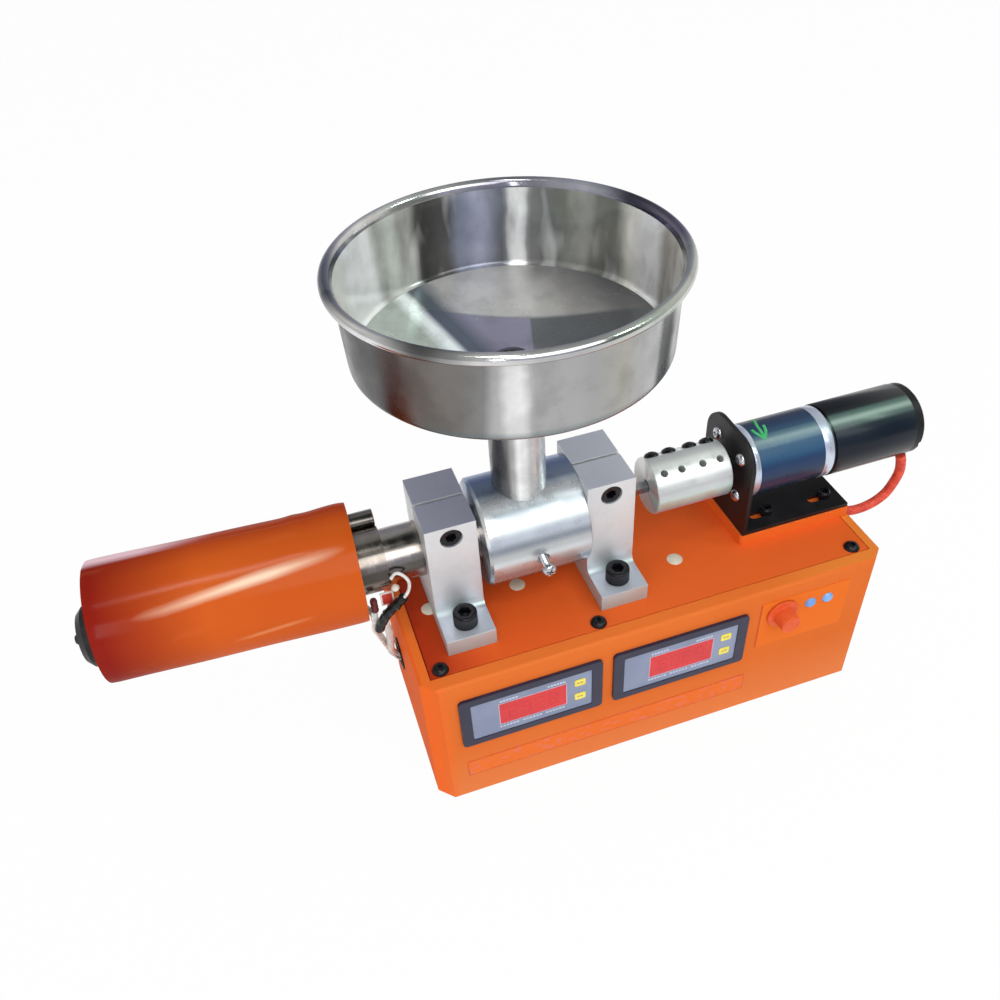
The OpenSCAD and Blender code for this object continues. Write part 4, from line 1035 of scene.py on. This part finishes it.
def build_knob():
    """A ribbed knob on a thin skirt."""
    low, high = box_mm("speed_knob")
    cx, cz = (low.x + high.x) / 2, (low.z + high.z) / 2
    front = FRONT_Y - 1

    def ribs(t):
        return 1.0 - 0.055 * (0.5 + 0.5 * math.cos(t * 22)) ** 2

    rows = [(3, -7), (3, -0.02), (9.4, 0), (9.5, 0.3), (9.3, 0.9),
            (8.6, 1.15), (6.6, 1.2), (6.25, 1.7), (6.2, 2.2, ribs), (6.05, 9.0, ribs),
            (5.7, 9.7), (5.2, 10.0), (4.4, 10.0), (4.2, 9.75), (1.0, 9.7)]
    mesh = Mesh()
    mesh.loft(turned_rings(rows, 264, facing(cx, front, cz, (0, -1, 0))))
    mesh.box((cx - 0.35, front - 10.0, cz + 1.5), (cx + 0.35, front - 9.6, cz + 5.0))
    mesh.piece("knob", knob_plastic, body="speed_dial", replaces=["speed_knob"], slot_name="knob_orange",
               smooth_angle=30)


def build_lamps():
    mesh = Mesh()
    for low, high in solids("indicator_lamps"):
        radius = (high.x - low.x) / 2
        rise = FRONT_Y - low.y
        rows = [(radius - 0.1, 0), (radius, 0.15)]
        for step in range(1, 9):
            a = math.radians(11 * step)
            rows.append((radius * math.cos(a), 0.15 + (rise - 0.15) * math.sin(a)))
        mesh.loft(turned_rings(rows, 48, facing((low.x + high.x) / 2, FRONT_Y, (low.z + high.z) / 2,
                                                (0, -1, 0))))
    mesh.piece("lamp_domes", lamp_lens, replaces=["indicator_lamps"], slot_name="lamp_blue")


build_meters()
build_panel_lines()
build_knob()
build_lamps()


# ---------------------------------------------------------------- hand-drawn mark on the gearbox
def build_arrow():
    """A pen-drawn arrow that shows which way the gearbox turns."""
    gear_low, gear_high = box_mm("gearbox_case")
    base_x = gear_low.x
    radius = (gear_high.z - gear_low.z) / 2 + 0.05
    strokes = [[(7.1, 119), (9.3, 113), (8.2, 103), (7.2, 93.5), (6.9, 80), (6.7, 66.6)],
               [(2.6, 89), (3.6, 80), (6.7, 66.6)], [(10.8, 93), (9.6, 80), (6.7, 66.6)]]
    mesh = Mesh()
    for stroke in strokes:
        fine = smooth_path([(x, a, 0) for x, a in stroke], 6)
        wide = 0.8
        verts, faces = [], []
        for i, p in enumerate(fine):
            along = (fine[min(i + 1, len(fine) - 1)] - fine[max(i - 1, 0)])
            along = Vector((along.x, math.radians(along.y) * radius)).normalized()
            for side in (-1, 1):
                x = base_x + p.x - along.y * wide * side
                a = math.radians(p.y) + along.x * wide * side / radius
                for lift in (0, 0.06):
                    r = radius + lift
                    verts.append((x, -r * math.cos(a), AXIS_Z + r * math.sin(a)))
        for i in range(len(fine) - 1):
            q = i * 4
            faces += [(q + 1, q + 3, q + 7, q + 5), (q, q + 4, q + 6, q + 2), (q, q + 1, q + 5, q + 4),
                      (q + 2, q + 6, q + 7, q + 3)]
        end = len(verts) - 4
        faces += [(0, 2, 3, 1), (end, end + 1, end + 3, end + 2)]
        mesh.add(verts, faces)
    mesh.piece("turning_arrow", arrow_green, slot_name="gearbox_blue")


build_arrow()


# ---------------------------------------------------------------- stage
def build_floor():
    """A pale floor that shows as near white and keeps the object's shadow."""
    mesh = bpy.data.meshes.new("floor")
    mesh.from_pydata([(-6, -6, 0), (6, -6, 0), (6, 6, 0), (-6, 6, 0)], [], [(0, 1, 2, 3)])
    obj = bpy.data.objects.new("floor", mesh)
    bpy.context.scene.collection.objects.link(obj)
    s = Shader("floor", (0.88, 0.88, 0.88), 0.9, Specular_IOR_Level=0.0)
    glow = s.node("ShaderNodeEmission", Strength=1.0)
    path = s.node("ShaderNodeLightPath")
    seen = path.outputs["Is Camera Ray"]
    for name in ("Is Glossy Ray", "Is Transmission Ray"):
        top = s.node("ShaderNodeMath", operation="MAXIMUM")
        s.link(seen, top.inputs[0])
        s.link(path.outputs[name], top.inputs[1])
        seen = top.outputs[0]
    part = s.node("ShaderNodeMath", operation="MULTIPLY")
    part.inputs[1].default_value = 0.97
    s.link(seen, part.inputs[0])
    mix = s.node("ShaderNodeMixShader")
    s.link(part.outputs[0], mix.inputs[0])
    s.link(s.bsdf.outputs[0], mix.inputs[1])
    s.link(glow.outputs[0], mix.inputs[2])
    s.link(mix.outputs[0], s.tree.nodes["Material Output"].inputs["Surface"])
    mesh.materials.append(s.mat)


def build_world():
    """Studio walls of uneven grey, lighter overhead."""
    world = bpy.data.worlds.new("studio")
    bpy.context.scene.world = world
    w = Nodes(world)
    sky = w.tree.nodes["Background"]
    coords = w.node("ShaderNodeTexCoord").outputs["Generated"]
    split = w.node("ShaderNodeSeparateXYZ")
    w.link(coords, split.inputs["Vector"])
    around = w.node("ShaderNodeTexGradient", gradient_type="RADIAL")
    w.link(coords, around.inputs["Vector"])
    walls = w.node("ShaderNodeValToRGB")
    stops = [(0.0, (0.62, 0.62, 0.62)), (0.14, (0.52, 0.52, 0.52)), (0.22, (0.50, 0.51, 0.60)),
             (0.31, (0.44, 0.45, 0.54)), (0.345, (0.20, 0.21, 0.20)), (0.41, (0.20, 0.21, 0.20)),
             (0.45, (0.66, 0.65, 0.62)), (0.60, (0.80, 0.78, 0.74)), (0.66, (0.40, 0.40, 0.45)),
             (0.74, (0.28, 0.29, 0.35)), (0.80, (0.50, 0.48, 0.46)), (0.87, (0.80, 0.78, 0.75)),
             (0.94, (0.56, 0.56, 0.56)), (1.0, (0.62, 0.62, 0.62))]
    fill_ramp(walls.color_ramp, stops)
    w.link(around.outputs["Fac"], walls.inputs["Fac"])
    height = w.node("ShaderNodeMapRange")
    height.inputs["From Min"].default_value = 0.55
    height.inputs["From Max"].default_value = 0.85
    w.link(split.outputs["Z"], height.inputs["Value"])
    mix = w.node("ShaderNodeMix", data_type="RGBA")
    w.link(height.outputs["Result"], mix.inputs[0])
    w.link(walls.outputs["Color"], mix.inputs[6])
    mix.inputs[7].default_value = (0.46, 0.48, 0.46, 1)
    w.link(mix.outputs[2], sky.inputs["Color"])
    sky.inputs["Strength"].default_value = 1.0


def softbox(name, place, target, size, power, color=(1, 1, 1), along=None, reflected=True):
    """An area lamp aimed at target; along gives the direction of its first side."""
    data = bpy.data.lights.new(name, "AREA")
    data.shape = "RECTANGLE"
    data.size, data.size_y = size
    data.energy = power
    data.color = color
    lamp = bpy.data.objects.new(name, data)
    bpy.context.scene.collection.objects.link(lamp)
    aim = (Vector(target) - Vector(place)).normalized()
    side = Vector(along) if along else aim.cross(Vector((0, 0, 1)))
    side = (side - side.dot(aim) * aim).normalized()
    turn = Matrix((side, side.cross(aim), -aim)).transposed().to_4x4()
    lamp.matrix_world = Matrix.Translation(place) @ turn
    lamp.visible_glossy = reflected


build_floor()
build_world()
softbox("key", (0.2, -0.95, 1.15), (0, 0, 0.12), (1.1, 0.9), 8)
softbox("overhead", (-0.31, -0.46, 2.0), (-0.1, 0, 0.12), (0.60, 0.16), 4.5, along=(0.39, 0.32, 0))
softbox("green", (1.18, -0.57, 1.54), (0.2, 0, 0.14), (0.24, 0.24), 4, (0.72, 1.0, 0.86))
softbox("fill", (-0.9, -2.0, 0.5), (0, 0, 0.12), (1.6, 1.0), 10, reflected=False)
a = math.radians(-115)
softbox("line", (1.5 * math.cos(a), 1.5 * math.sin(a), 0.875), (0, 0, 0.875), (0.07, 0.75), 1.6)

bpy.context.scene.view_settings.view_transform = "Standard"
